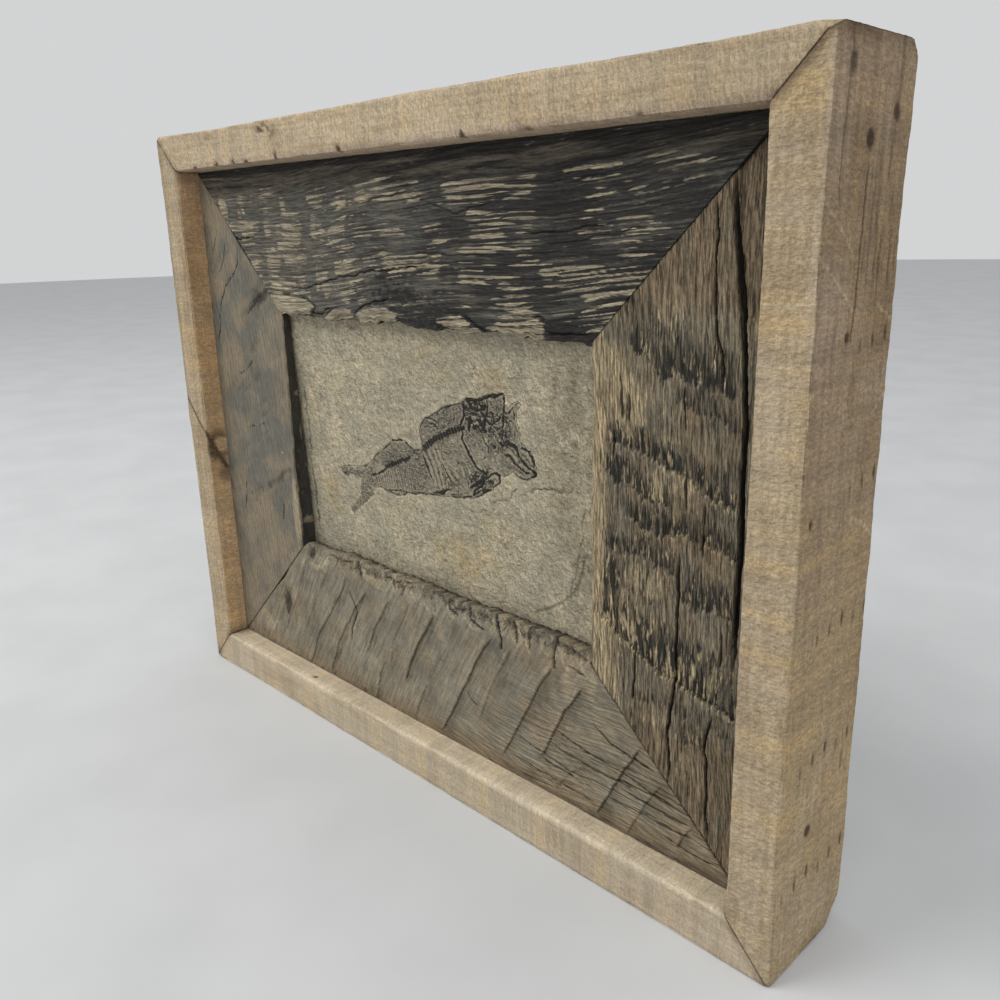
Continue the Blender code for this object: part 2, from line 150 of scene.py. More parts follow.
def grooves(x, z, lines, waver=0.25, seed=5):
    # splits and scratches: how deep each point is in one, and how dark
    deep = np.zeros_like(x)
    dark = np.zeros_like(x)
    wx = x + waver * clouds(x, z, 3, 3, seed, 2)
    wz = z + waver * clouds(x, z, 3, 3, seed + 1, 2)
    for line, width, depth in lines:
        away, share = nearLine(wx, wz, line, 2.0 * width + 1)
        taper = np.clip(np.minimum(share, 1 - share) * 9, 0, 1) ** 0.5
        half = np.maximum(width / 2 * (0.35 + 0.65 * taper), 0.36)
        faint = min(1.0, 0.45 + 0.7 * width)
        inside = np.clip(1 - away / half, 0, 1) ** 0.7 * (share > 0)
        deep = np.maximum(deep, depth * taper * inside)
        dark = np.maximum(dark, faint * taper * ease(1.35 - away / half, 0, 0.9) * (share > 0))
    return deep, dark


# Work on meshes.

def deselectAll():
    if bpy.context.object and bpy.context.object.mode != "OBJECT":
        bpy.ops.object.mode_set(mode="OBJECT")
    bpy.ops.object.select_all(action="DESELECT")


def choose(piece):
    deselectAll()
    piece.select_set(True)
    bpy.context.view_layer.objects.active = piece


def openEdit(piece, kind="VERT"):
    choose(piece)
    bpy.ops.object.mode_set(mode="EDIT")
    bpy.ops.mesh.select_mode(type=kind)
    bpy.ops.mesh.select_all(action="DESELECT")
    return bmesh.from_edit_mesh(piece.data)


def pick(piece, test, kind="EDGE"):
    # in edit mode, selects the edges or faces that pass a test
    mesh = bmesh.from_edit_mesh(piece.data)
    bpy.ops.mesh.select_all(action="DESELECT")
    for part in (mesh.edges if kind == "EDGE" else mesh.faces):
        if test(part):
            part.select_set(True)
    bmesh.update_edit_mesh(piece.data)


def closeEdit():
    bpy.ops.object.mode_set(mode="OBJECT")


def settle(name, scale):
    # names what was just added, and puts its size and place into its mesh
    piece = bpy.context.object
    piece.name = name
    piece.data.name = name
    piece.scale = scale
    bpy.ops.object.transform_apply(location=True, rotation=True, scale=True)
    return piece


def newSheet(name, x0, x1, z0, z1, y, stepX, stepZ):
    # an upright grid that faces the front
    deselectAll()
    bpy.ops.mesh.primitive_grid_add(
        x_subdivisions=round((x1 - x0) / stepX), y_subdivisions=round((z1 - z0) / stepZ), size=1.0,
        location=((x0 + x1) / 2 * mm, y * mm, (z0 + z1) / 2 * mm), rotation=(math.pi / 2, 0, 0))
    return settle(name, ((x1 - x0) * mm, (z1 - z0) * mm, 1))


def newBlock(name, low, high):
    deselectAll()
    bpy.ops.mesh.primitive_cube_add(size=1.0, location=[(a + b) / 2 * mm for a, b in zip(low, high)])
    return settle(name, [(b - a) * mm for a, b in zip(low, high)])


def trim(piece, point, away, fill=False):
    # cuts off what lies beyond a plane
    openEdit(piece)
    bpy.ops.mesh.select_all(action="SELECT")
    bpy.ops.mesh.bisect(
        plane_co=[c * mm for c in point], plane_no=Vector(away).normalized(), use_fill=fill, clear_outer=True)
    closeEdit()


def growWalls(piece, depths):
    # draws the sheet's rim back in steps and closes it behind
    openEdit(piece, "EDGE")
    pick(piece, lambda edge: edge.is_boundary)
    reached = 0.0
    for depth in depths:
        bpy.ops.mesh.extrude_edges_move(TRANSFORM_OT_translate={"value": (0, (depth - reached) * mm, 0)})
        reached = depth
    bpy.ops.mesh.edge_face_add()
    bpy.ops.mesh.select_all(action="SELECT")
    bpy.ops.mesh.normals_make_consistent(inside=False)
    closeEdit()


def readPoints(piece):
    flat = np.empty(len(piece.data.vertices) * 3, np.float32)
    piece.data.vertices.foreach_get("co", flat)
    points = flat.reshape(-1, 3).astype(float) / mm
    return points[:, 0], points[:, 1], points[:, 2]


def writePoints(piece, x, y, z):
    points = np.stack([x, y, z], 1) * mm
    piece.data.vertices.foreach_set("co", points.astype(np.float32).ravel())
    piece.data.update()


def addMasks(piece, masks):
    # one number for each point, which the materials read: shares from 0 to 1, and the flow in millimetres
    for name, values in masks.items():
        layer = piece.data.attributes.new(name, "FLOAT", "POINT")
        if name != "flow":
            values = np.clip(values, 0, 1)
        layer.data.foreach_set("value", values.astype(np.float32))


def finishPiece(piece, node, material, angle=40):
    choose(piece)
    bpy.ops.object.shade_smooth_by_angle(angle=math.radians(angle))
    piece.data.materials.clear()
    piece.data.materials.append(material)
    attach(piece, "root")
    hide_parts(node)
    piece.select_set(False)
    print(f"{piece.name}: {len(piece.data.polygons)} faces")


# Node materials: each helper adds to the node tree that was started last.

graph = {}


def tone(red, green, blue):
    # a colour as the eye reads it, 0 to 255, turned into light
    linear = []
    for value in (red, green, blue):
        value = value / 255
        linear.append(value / 12.92 if value <= 0.04045 else ((value + 0.055) / 1.055) ** 2.4)
    return (*linear, 1.0)


def feed(node, inputs):
    # links sockets to a node's inputs, and sets plain values on them
    for key, value in inputs.items():
        if isinstance(value, bpy.types.NodeSocket):
            graph["tree"].links.new(value, node.inputs[key])
        else:
            node.inputs[key].default_value = value


def put(kind, inputs=None, **settings):
    node = graph["tree"].nodes.new("ShaderNode" + kind)
    for key, value in settings.items():
        setattr(node, key, value)
    feed(node, inputs or {})
    return node


def startMaterial(name):
    made = bpy.data.materials.new(name)
    made.use_nodes = True
    graph["tree"] = made.node_tree
    made.node_tree.nodes.clear()
    shader = put("BsdfPrincipled")
    put("OutputMaterial", {"Surface": shader.outputs["BSDF"]})
    return made, shader


def stretched(spot, by):
    return put("VectorMath", {0: spot, 1: by}, operation="MULTIPLY").outputs[0]


def shifted(spot, by):
    return put("VectorMath", {0: spot, 1: by}, operation="ADD").outputs[0]


def objectSpace(turn=(0, 0, 0), stretch=(1, 1, 1)):
    # object coordinates in millimetres, turned and then stretched
    spot = put("TexCoord").outputs["Object"]
    spot = put("VectorMath", {0: spot, 3: 1 / mm}, operation="SCALE").outputs[0]
    spot = put("Mapping", {"Vector": spot, "Rotation": turn}, vector_type="POINT").outputs[0]
    return stretched(spot, stretch)


def grainOf(spot, size, detail=3.0, rough=0.5, bend=0.0):
    noise = {"Vector": spot, "Scale": 1.0 / size, "Detail": detail, "Roughness": rough, "Distortion": bend}
    return put("TexNoise", noise).outputs["Fac"]


def maskOf(name):
    return put("Attribute", attribute_name=name).outputs["Fac"]


def sums(kind, first, second=0.0, third=0.0):
    return put("Math", {0: first, 1: second, 2: third}, operation=kind).outputs[0]


def times(value, *factors):
    for factor in factors:
        value = sums("MULTIPLY", value, factor)
    return value


def rampOf(factor, low, high, start=0.0, end=1.0):
    # moves low..high to start..end, smoothly
    return put("MapRange", {
        "Value": factor, "From Min": low, "From Max": high, "To Min": start, "To Max": end},
        interpolation_type="SMOOTHSTEP").outputs[0]


def lineOf(noise, level, width, strength=1, core=0.0):
    # thin wandering lines where a noise crosses a level
    return rampOf(sums("ABSOLUTE", sums("SUBTRACT", noise, level)), core, width, strength, 0)


def mixTones(factor, first, second, way="MIX"):
    return put("Mix", {0: factor, 6: first, 7: second}, data_type="RGBA", blend_type=way).outputs[2]


def mixValues(factor, first, second):
    return put("Mix", {0: factor, 2: first, 3: second}, data_type="FLOAT").outputs[0]


def layered(paint, *layers):
    # colours laid over a paint, each with its own cover
    for cover, over in layers:
        paint = mixTones(cover, paint, over)
    return paint


def shadeTone(paint, amount):
    # multiplies a colour by a grey value
    grey = put("CombineColor", {0: amount, 1: amount, 2: amount}).outputs[0]
    return mixTones(1.0, paint, grey, "MULTIPLY")


def bumpOf(*layers):
    # bumps laid over one another: height, depth in millimetres, strength
    below = {}
    for height, depth, strength in layers:
        node = put("Bump", {"Height": height, "Distance": depth * mm, "Strength": strength, **below})
        below = {"Normal": node.outputs[0]}
    return node.outputs[0]


def reliefOf(spot, size, shift, low, high, detail=4.0, rough=0.6):
    # brightness of fine lumps, lit from one side: noise less the same noise a little further on
    here = grainOf(spot, size, detail, rough)
    further = grainOf(shifted(spot, shift), size, detail, rough)
    return rampOf(sums("SUBTRACT", here, further), -0.13, 0.13, low, high)


# Camera, light and floor.

studio = {
    "cameraPlace": (0.22984, -0.19657, 0.18707),
    "cameraTurn": (90 - 16.652, 0, 45.709),
    "cameraRoll": -1.4307,
    "lens": 33.445,
    "worldTone": (0.985, 0.99, 1, 1),
    "worldStrength": 0.66,
    "floorTone": (200, 202, 203),
    "floorShade": (194, 196, 197),
    "floorSize": 8,
    "keyPlace": (-0.55, -0.85, 1.35),
    "keySize": 0.9,
    "keyPower": 13,
    "fillPlace": (0.9, -0.5, 1.5),
    "fillSize": 1.4,
    "fillPower": 7,
}


def addLamp(name, place, size, power, paint=(1, 1, 1)):
    light = bpy.data.lights.new(name, "AREA")
    light.shape = "DISK"
    light.size = size
    light.energy = power
    light.color = paint
    lamp = bpy.data.objects.new(name, light)
    lamp.location = place
    aim = Vector((0.0, 0.0, 0.1)) - Vector(place)
    lamp.rotation_euler = aim.to_track_quat("-Z", "Y").to_euler()
    bpy.context.scene.collection.objects.link(lamp)


def buildStudio():
    scene = bpy.context.scene
    lens = bpy.data.cameras.new("camera")
    lens.sensor_width = 36.0
    lens.lens = studio["lens"]
    lens.clip_start = 0.01
    lens.clip_end = 50.0
    camera = bpy.data.objects.new("camera", lens)
    scene.collection.objects.link(camera)
    turn = Euler([math.radians(a) for a in studio["cameraTurn"]]).to_matrix().to_4x4()
    roll = Matrix.Rotation(math.radians(studio["cameraRoll"]), 4, "Z")
    camera.matrix_world = Matrix.Translation(studio["cameraPlace"]) @ turn @ roll
    scene.camera = camera
    scene.view_settings.view_transform = "Standard"
    world = bpy.data.worlds.new("softRoom")
    world.use_nodes = True
    world.node_tree.nodes["Background"].inputs["Color"].default_value = studio["worldTone"]
    world.node_tree.nodes["Background"].inputs["Strength"].default_value = studio["worldStrength"]
    scene.world = world
    addLamp("keyLight", studio["keyPlace"], studio["keySize"], studio["keyPower"], (1.0, 0.985, 0.96))
    addLamp("fillLight", studio["fillPlace"], studio["fillSize"], studio["fillPower"])
    deselectAll()
    bpy.ops.mesh.primitive_circle_add(
        vertices=96, radius=studio["floorSize"] / 2, fill_type="NGON", location=(0, 0, 0))
    floor = bpy.context.object
    floor.name = "floor"
    material, shader = startMaterial("paleFloor")
    speckle = rampOf(grainOf(objectSpace(), 60, 3), 0.3, 0.7)
    paint = mixTones(speckle, tone(*studio["floorTone"]), tone(*studio["floorShade"]))
    feed(shader, {"Base Color": paint, "Roughness": 0.75})
    floor.data.materials.append(material)
    print("studio ready")


# Outer frame of pale sawn wood.

outerFrame = {
    "arris": 0.9,
    "endInset": 0.25,
    "endDepth": 0.12,
    "frontCuts": 22,
    "sideCuts": {"top": 32, "bottom": 32, "left": 32, "right": 74},
    "lengthCuts": 99,
    "wander": 0.5,
    "sawBands": 0.05,
    "fuzz": 0.07,
    "chips": 0.8,
    "jointGap": 0.1,
    "lowMitre": 0.939,
    "corners": (  # which corner, and how much is worn off
        (1, -1, 1, 4.2), (1, 1, 1, 4.5), (1, 1, -1, 8.5), (1, -1, -1, 2), (-1, -1, 1, 2.5),
        (-1, 1, 1, 3.5), (-1, -1, -1, 2.2), (-1, 1, -1, 3.5)),
    "yellow": (190, 162, 112),
    "greyed": (176, 162, 146),
    "stainAndShade": (66, 50, 36),
    "soil": (104, 84, 62),
    "joint": (58, 46, 36),
    "looks": {  # pale, deeper, brown and worn wood, and the light on the sides, high and low
        "top": {
            "paints": ((197, 179, 150), (182, 162, 131), (158, 133, 102), (190, 168, 146)),
            "sideLightTones": ((255, 249, 238), (219, 209, 201))},
        "bottom": {
            "paints": ((200, 185, 160), (187, 170, 143), (166, 145, 116), (222, 208, 182)),
            "sideLightTones": ((255, 249, 238), (219, 209, 201)), "rough": 0.5},
        "left": {
            "paints": ((189, 171, 142), (170, 150, 118), (140, 113, 80), (200, 184, 155)),
            "sideLightTones": ((292, 275, 258), (268, 246, 224))},
        "right": {
            "paints": ((191, 172, 141), (171, 151, 119), (150, 126, 97), (195, 177, 149)),
            "sideLightTones": ((255, 249, 238), (219, 209, 201))}},
    "notches": (  # on the top board's lower arris
        (-96, 208.8, 1, 1.8, 1), (-84, 209, 0.9, 2.2, 1), (-75, 208.8, 1.6, 1.3, 0.9),
        (-56, 209.4, 1, 2.3, 1), (-20, 209.2, 1.1, 2.2, 1), (36, 209, 1.1, 1.8, 1),
        (-112, 208.6, 1.5, 1.2, 0.9), (60, 208.7, 1.7, 1, 0.8), (94, 208.7, 1.3, 1, 0.8),
        (-40, 208.7, 3, 0.7, 0.6), (8, 208.7, 4, 0.7, 0.5)),
    "lowKnot": ((-64, -15.5, 1.4, 1.0, 1.0),),
    "blotches": ((-14, 99, 6, 8, 1), (-12, 88, 4, 5, 0.7)),
    "bulge": ((-133, 112, 7, 5, 1),),
    "smudges": ((-61, 218, 7, 3.5, 0.8), (-100, 219, 3, 2, 0.5), (-137, 219, 3.5, 3.5, 0.7)),
    "lowMarks": ((68, 8, 0.8, 6, 0.45), (100, 8, 0.7, 6, 0.35), (-20, 6, 0.8, 5, 0.25)),
    "scar": ((-140, 121), (-134, 114), (-127, 106)),
    "scarTail": ((-19, 106), (-15, 98), (-11, 90)),
    "sideKnots": (  # on the right board's side: from the front, height
        (18.5, 201.5, 1.7, 2, 1.2), (29.5, 207.2, 1.7, 2.1, 1), (8, 215, 1.6, 2.6, 0.8),
        (15.5, 161.5, 1.1, 1.5, 1), (5, 122, 0.9, 1.4, 0.9), (15.5, 38.5, 1.5, 1.8, 1.1),
        (31, 52, 1, 4, 0.6)),
    "sideSplits": (  # line, width, strength
        (((7, 222), (7.6, 213), (6.6, 200), (7.2, 190)), 1.6, 0.6),
        (((18.8, 196), (18.4, 180), (17.5, 161)), 1.3, 0.75), (((30, 222), (29.7, 209)), 3, 0.5),
        (((30.5, 62), (32, 52), (35, 46)), 1, 0.5), (((17.8, 158), (18.2, 146)), 0.9, 0.35),
        (((3, 214), (9, 212.5)), 0.8, 0.5)),
    "tickRows": ((160, 22), (127, 23), (93, 12), (59, 9), (25, 4.5)),
    "tickStep": 6.1,
    "tornSpots": (
        (27, 183, 13, 24, 1), (20, 155, 9, 5, 0.8), (12, 158, 8, 6, 0.5), (25, 210, 12, 9, 0.6),
        (30, 130, 9, 12, 0.5), (8, 70, 9, 20, 0.35), (28, 75, 10, 22, 0.4)),
    "smoothSpots": (
        (6, 165, 9, 13, 1), (4, 208, 6, 16, 0.9), (12, 213, 6, 9, 0.6), (30, 150, 9, 6, 0.8),
        (8, 135, 12, 9, 0.5), (17, 13, 15, 9, 0.8), (33, 120, 6, 8, 0.4), (12, 105, 12, 10, 0.4)),
    "sawArcs": (
        ((0, 179), (8, 174), (17, 167)), ((0, 151.5), (9, 148), (18, 143.5)),
        ((24, 119), (31, 116), (38, 111)), ((24, 141), (31, 143), (38, 148)),
        ((0, 190), (9, 184), (15, 179)), ((28, 168), (38, 163))),
    "sawLines": ((133, 169, 8, 0.7, 1), (132, 101, 7, 0.5, 0.6)),
}


def outerMaterial(name, along, looks, seed):
    material, shader = startMaterial(name)
    pale, deeper, brown, worn = (tone(*paint) for paint in looks["paints"])
    sideHigh, sideLow = (tone(*paint) for paint in looks["sideLightTones"])
    yellow, greyed, dark, soil, joint = (
        tone(*outerFrame[key]) for key in ("yellow", "greyed", "stainAndShade", "soil", "joint"))
    rough = looks.get("rough", 1.0)
    # x runs along the board, y through its depth, z across it
    turn = (0, 0, 0) if along == "x" else (0, math.pi / 2, 0)
    spot = shifted(objectSpace(turn), (seed * 37.0, 0, seed * 11.0))
    streak = grainOf(stretched(spot, (0.06, 0.9, 0.9)), 1.5, 5, 0.65)
    wide = grainOf(stretched(spot, (0.3, 0.9, 0.9)), 13, 3, 0.5)
    bands = grainOf(stretched(spot, (1, 0.05, 0.05)), 6, 4, 0.6)
    cuts = grainOf(stretched(spot, (1, 0.07, 0.07)), 0.6, 3, 0.6, 0.4)
    fuzzy = grainOf(stretched(spot, (1.2, 0.8, 0.8)), 1.2, 5, 0.68, 0.7)
    fine = grainOf(stretched(spot, (0.7, 1, 1)), 0.4, 3, 0.65)
    # the mitres show as fine dark lines with a soft stain beside them
    parts = put("SeparateXYZ", {0: objectSpace()}).outputs
    across = sums("SUBTRACT", places["halfWidth"], sums("ABSOLUTE", parts[0]))
    over = sums("SUBTRACT", places["height"], parts[2])
    under = times(parts[2], outerFrame["lowMitre"])
    away = times(sums("ABSOLUTE", sums("SUBTRACT", across, sums("MINIMUM", over, under))), 0.7)
    soiled = times(rampOf(away, 0, 3, 1, 0), rampOf(wide, 0.35, 0.65, 0.1, 0.75))
    seam = times(rampOf(away, 0.1, 0.4, 1, 0), rampOf(maskOf("side"), 0.2, 0.8, 0.62, 0.12))
    stainAndShade = sums("MULTIPLY_ADD", sums("SUBTRACT", fuzzy, 0.5), 0.8, maskOf("stainAndShade"))
    paint = layered(
        pale, (rampOf(streak, 0.35, 0.68), deeper), (rampOf(wide, 0.5, 0.74, 0, 0.5), brown),
        (rampOf(bands, 0.5, 0.7, 0, 0.45), yellow), (times(maskOf("grey"), 0.62), greyed))
    # painted light on the side faces, multiplied in: the first side tone below 40 mm, blending to the second
    # above 170 mm
    paintedSideLight = mixTones(rampOf(parts[2], 40, 170), sideHigh, sideLow)
    paint = mixTones(times(maskOf("side"), 0.85), paint, paintedSideLight, "MULTIPLY")
    paint = layered(
        paint, (rampOf(maskOf("rubAndLight"), 0.1, 0.9, 0, 0.6), worn), (rampOf(stainAndShade, 0.15, 0.95, 0, 0.9), dark),
        (soiled, soil), (seam, joint))
    sideStreaks = times(rampOf(streak, 0.32, 0.68, -0.24, 0.18), maskOf("side"))
    value = times(
        rampOf(bands, 0.28, 0.72, 0.86, 1.1),
        rampOf(cuts, 0.3, 0.7, 0.93, 1.05),
        sums("ADD", sideStreaks, 1.0),
        reliefOf(stretched(spot, (1.3, 0.7, 0.7)), 1.3, (0.3, 0.1, 0.25), 1 - 0.16 * rough, 1 + 0.14 * rough),
        rampOf(fuzzy, 0.3, 0.7, 1 - 0.2 * rough, 1 + 0.14 * rough),
        rampOf(fine, 0.28, 0.72, 0.88, 1.1))
    calm = rampOf(maskOf("grey"), 0.2, 0.8, 1, 0.35)
    feed(shader, {
        "Base Color": shadeTone(paint, value),
        "Roughness": rampOf(fuzzy, 0.2, 0.8, 0.72, 0.92),
        "Normal": bumpOf((cuts, 0.12, 1.0), (fuzzy, 0.5, calm), (streak, 0.3, 1.0), (fine, 0.14, 1.0)),
        "Specular IOR Level": 0.25})
    return material


def outerBoard(side, low, high, cuts, shape, seed):
    # low and high are the board's corners; cuts are its two mitre planes
    level = side in ("top", "bottom")
    piece = newBlock("frame" + side.title(), low, high)
    for pointX, pointZ, awayX, awayZ in cuts:
        trim(piece, (pointX, 0, pointZ), (awayX, 0, awayZ), fill=True)
    axis = Vector((1, 0, 0)) if level else Vector((0, 0, 1))
    openEdit(piece, "EDGE")

    def span(edge):
        return edge.verts[1].co - edge.verts[0].co

    def isLong(edge, least=5.0):
        return abs(span(edge).dot(axis)) > 0.98 * span(edge).length and span(edge).length > least * mm

    pick(piece, isLong)
    bpy.ops.mesh.bevel(offset=outerFrame["arris"] * mm, segments=3, affect="EDGES")
    bpy.ops.mesh.select_mode(type="FACE")
    pick(piece, lambda face: len(face.verts) > 6, "FACE")
    bpy.ops.mesh.inset(thickness=outerFrame["endInset"] * mm, depth=outerFrame["endDepth"] * mm)
    bpy.ops.mesh.select_mode(type="EDGE")
    pick(piece, lambda edge: not isLong(edge) and abs(span(edge).y) > 5 * mm)
    bpy.ops.mesh.subdivide(number_cuts=outerFrame["sideCuts"][side])
    pick(piece, lambda edge: not isLong(edge) and abs(span(edge).y) < 0.3 * mm and span(edge).length > 5 * mm)
    bpy.ops.mesh.subdivide(number_cuts=outerFrame["frontCuts"])
    pick(piece, isLong)
    bpy.ops.mesh.subdivide(number_cuts=outerFrame["lengthCuts"])
    pick(piece, lambda edge: isLong(edge, 1.2))
    bpy.ops.mesh.subdivide(number_cuts=1)
    bpy.ops.mesh.select_all(action="SELECT")
    bpy.ops.mesh.normals_make_consistent(inside=False)
    closeEdit()
    shapeOuterBoard(piece, side, low, high, shape, seed)
    looks = outerFrame["looks"][side]
    material = outerMaterial("paleSawn" + side.title(), "x" if level else "z", looks, seed - 10)
    finishPiece(piece, "frame_" + side, material, 60)


def wearCorners(x, y, z):
    # the outer corners of the frame are worn off by small slanted planes
    half = places["height"] / 2
    for cornerX, cornerY, cornerZ, size in outerFrame["corners"]:
        offX = x * cornerX - places["halfWidth"]
        offY = y * cornerY - places["back"]
        offZ = (z - half) * cornerZ - half
        over = np.maximum(offX + offY + offZ + size, 0) / 3
        x = x - over * cornerX
        y = y - over * cornerY
        z = z - over * cornerZ
    return x, y, z


def shapeOuterBoard(piece, side, low, high, shape, seed):
    # u runs along the board and w across its front
    level = side in ("top", "bottom")
    x, y, z = readPoints(piece)
    u, w = (x, z) if level else (z, x)
    lowW, highW = (low[2], high[2]) if level else (low[0], high[0])
    middle = 0.0 if level else places["height"] / 2
    reach = places["halfWidth"] if level else places["height"] / 2
    arris = outerFrame["arris"]
    outW = w - np.clip(w, lowW + arris, highW - arris)
    outY = y - np.clip(y, places["front"] + arris, places["back"] - arris)
    size = np.maximum(np.hypot(outW, outY), 1e-6)
    nearSkin = ease(size, 0.25, 0.6)
    outW = outW / size
    outY = outY / size
    calm = ease(reach - np.abs(u - middle), 0, 35)
    girth = y + 1.7 * w
    onArris = ease(np.minimum(np.abs(outW), np.abs(outY)), 0.15, 0.5)
    worn = onArris * (0.2 + 0.8 * ease(clouds(u, girth, 9, 40, seed + 4, 3), -0.1, 0.6))
    extra, stainAndShade, rubAndLight, grey = shape(x, y, z)
    deep = outerFrame["wander"] * calm * (0.5 + 0.5 * clouds(u, girth, 50, 70, seed, 2))
    deep = deep + outerFrame["sawBands"] * (1 + clouds(u, girth, 2.5, 60, seed + 2, 2))
    deep = deep + outerFrame["fuzz"] * (1 + clouds(u, girth, 1.6, 1.6, seed + 3, 3))
    deep = deep + outerFrame["chips"] * 0.5 * worn
    deep = np.clip(deep + extra, 0.02, 3.0)
    grey = np.maximum(grey, 0.5 * ease(clouds(u, girth, 30, 12, seed + 7, 3), 0, 0.7))
    rubAndLight = np.maximum(rubAndLight, onArris * 0.8 * ease(clouds(u, y, 14, 9, seed + 6, 3), -0.4, 0.5))
    if side == "bottom":  # the face it stands on
        deep = np.where(outW < -0.5, deep * 0.15, deep)
    # the inner faces stay true where the other boards and the panel sit in the frame
    inward = outW * np.sign(w - (places["height"] / 2 if level else 0)) < -0.5
    deep = np.where(inward, deep * (0.04 + 0.96 * ease(places["barnFront"] + 1.5 - y, 0, 1.5)), deep)
    w = w - outW * deep * nearSkin
    y = y - outY * deep * nearSkin
    # the feather ends stop just under the neighbour's face
    u = middle + np.clip(u - middle, 0.45 - reach, reach - 0.45)
    x, z = (u, w) if level else (w, u)
    x, y, z = wearCorners(x, y, z)
    onSide = ease(0 * outW if level else outW, 0.3, 0.8)
    addMasks(piece, {"side": onSide, "stainAndShade": stainAndShade, "rubAndLight": rubAndLight, "grey": grey})
    writePoints(piece, x, y, z)


def topShape(x, y, z):
    # the lower front arris is worn to a soft slope with small dark notches in it, and the underside gets
    # painted shade
    fromEdge = z - places["innerTop"]
    fromFront = y - places["front"]
    worn = ease(2.6 - fromEdge - 0.6 * fromFront, 0, 2.6) * (0.6 + 0.4 * clouds(x, y, 12, 9, 71, 3))
    notches = patches(x, z, outerFrame["notches"]) * (fromFront < 3)
    smudge = patches(x, z, outerFrame["smudges"]) * ease(clouds(x, z, 3, 3, 72, 3), -0.3, 0.4)
    smudge = np.maximum(smudge, 0.34 * ease(x, 60, 105))
    # painted shade on the underside of the board, behind its front, laid in with the real stains
    under = 0.25 * ease(-z, -208.6, -208.2) * (fromFront > 1)
    stainAndShade = most(notches, smudge, under)
    rubAndLight = ease(3.2 - fromEdge - 0.3 * fromFront, 0, 1.6)
    return 0.9 * worn * (fromFront < 6) + 0.7 * notches, stainAndShade, rubAndLight, 0 * x


def bottomShape(x, y, z):
    # a bright worn upper arris, painted light over the whole upper face, a small knot and a few saw marks
    fromFront = y - places["front"]
    onTop = ease(z, 14, 14.6)
    knot = patches(x, y, outerFrame["lowKnot"]) * onTop
    marks = patches(x, z, outerFrame["lowMarks"]) * (fromFront < 1)
    rubAndLight = ease(2.4 - np.abs(z - 14.4) - 0.35 * fromFront, 0, 1.6)
    rubAndLight = rubAndLight * ease(clouds(x, y, 12, 9, 75, 3), -0.8, 0.1)
    # painted light: the whole upper face takes some of the pale worn colour
    return 0.5 * knot, np.maximum(knot, marks), np.maximum(rubAndLight, 0.4 * onTop), 0 * x


def leftShape(x, y, z):
    # a brown strip down the outer edge, and a dark curved scar over the inner arris
    inner = ease(x, -128, -126.8)
    onFront = (y < -18) * (1 - inner)
    strip = ease(-x, 136.6, 137.6) * ease(z, 112, 124) * (0.45 + 0.3 * clouds(z, x, 25, 2, 76, 3))
    grain = 0.4 * ease(clouds(z, x, 40, 1.2, 77, 3), 0.2, 0.6)
    scar = 0.8 * ease(1.0 - nearLine(x, z, outerFrame["scar"], 2)[0], 0, 0.7) * onFront
    tail = nearLine(y, z, outerFrame["scarTail"], 2.5)[0]
    blotch = 0.85 * patches(y, z, outerFrame["blotches"]) * ease(clouds(y, z, 5, 5, 73, 3), -0.6, 0.3)
    blotch = np.maximum(blotch, 0.9 * ease(1.6 - tail, 0, 1.2)) * inner
    bulge = -0.5 * patches(x, z, outerFrame["bulge"]) * (y < -17)
    stainAndShade = most(strip * onFront, grain * onFront, scar, blotch)
    return bulge, stainAndShade, 0 * x, 0.6 * inner * ease(clouds(z, y, 30, 5, 78, 3), -0.1, 0.6)


def rightShape(x, y, z):
    # the outer side: saw arcs, knots, splits and rows of short tooth marks
    outside = ease(x, 138.2, 139.2)
    m = y - places["front"]
    marks = patches(m, z, outerFrame["sideKnots"])
    for path, width, strength in outerFrame["sideSplits"]:
        away = nearLine(m + 0.4 * clouds(z, m, 6, 4, 79, 2), z, path, width + 1)[0]
        marks = np.maximum(marks, strength * ease(1.2 - away / (width / 2), 0, 1))
    teeth = []
    for height, first in outerFrame["tickRows"]:
        for step in range(6):
            across = first + outerFrame["tickStep"] * step
            if across < 37.5:
                teeth.append((across, height + (step % 3) - 1, 0.75, 2.2, 0.6 + 0.12 * (step % 3)))
    torn = patches(m, z, outerFrame["tornSpots"])
    marks = most(
        marks, patches(m, z, teeth), 0.62 * torn * ease(clouds(z, m, 16, 0.9, 80, 4, 0.6), 0, 0.5),
        0.38 * torn * (0.8 + 0.5 * clouds(m, z, 4, 7, 83, 3)))
    smooth = patches(m, z, outerFrame["smoothSpots"])
    arcs = np.zeros_like(x)
    for path in outerFrame["sawArcs"]:
        arcs = np.maximum(arcs, ease(1.0 - nearLine(m, z, path, 2)[0] / 0.7, 0, 0.9))
    rear = ease(m, 31, 36) * ease(-z, -6, 0)
    edge = 0.5 * outside * ease(m, 36, 38) * (0.5 + 0.5 * clouds(z, m * 0, 9, 1, 70, 3))
    extra = (0.3 * marks - 0.12 * arcs) * outside + 0.8 * rear * outside + edge
    frontLine = 0.8 * patches(x, z, outerFrame["sawLines"]) * (y < -18)
    # the front face has a few greenish and grey bands across it
    bands = 0.5 * ease(clouds(z, x, 9, 60, 82, 3), 0, 0.6) * (y < -18)
    rubAndLight = np.maximum(0.9 * arcs * outside, frontLine)
    return extra, marks * outside, rubAndLight, np.maximum(smooth * outside, bands)


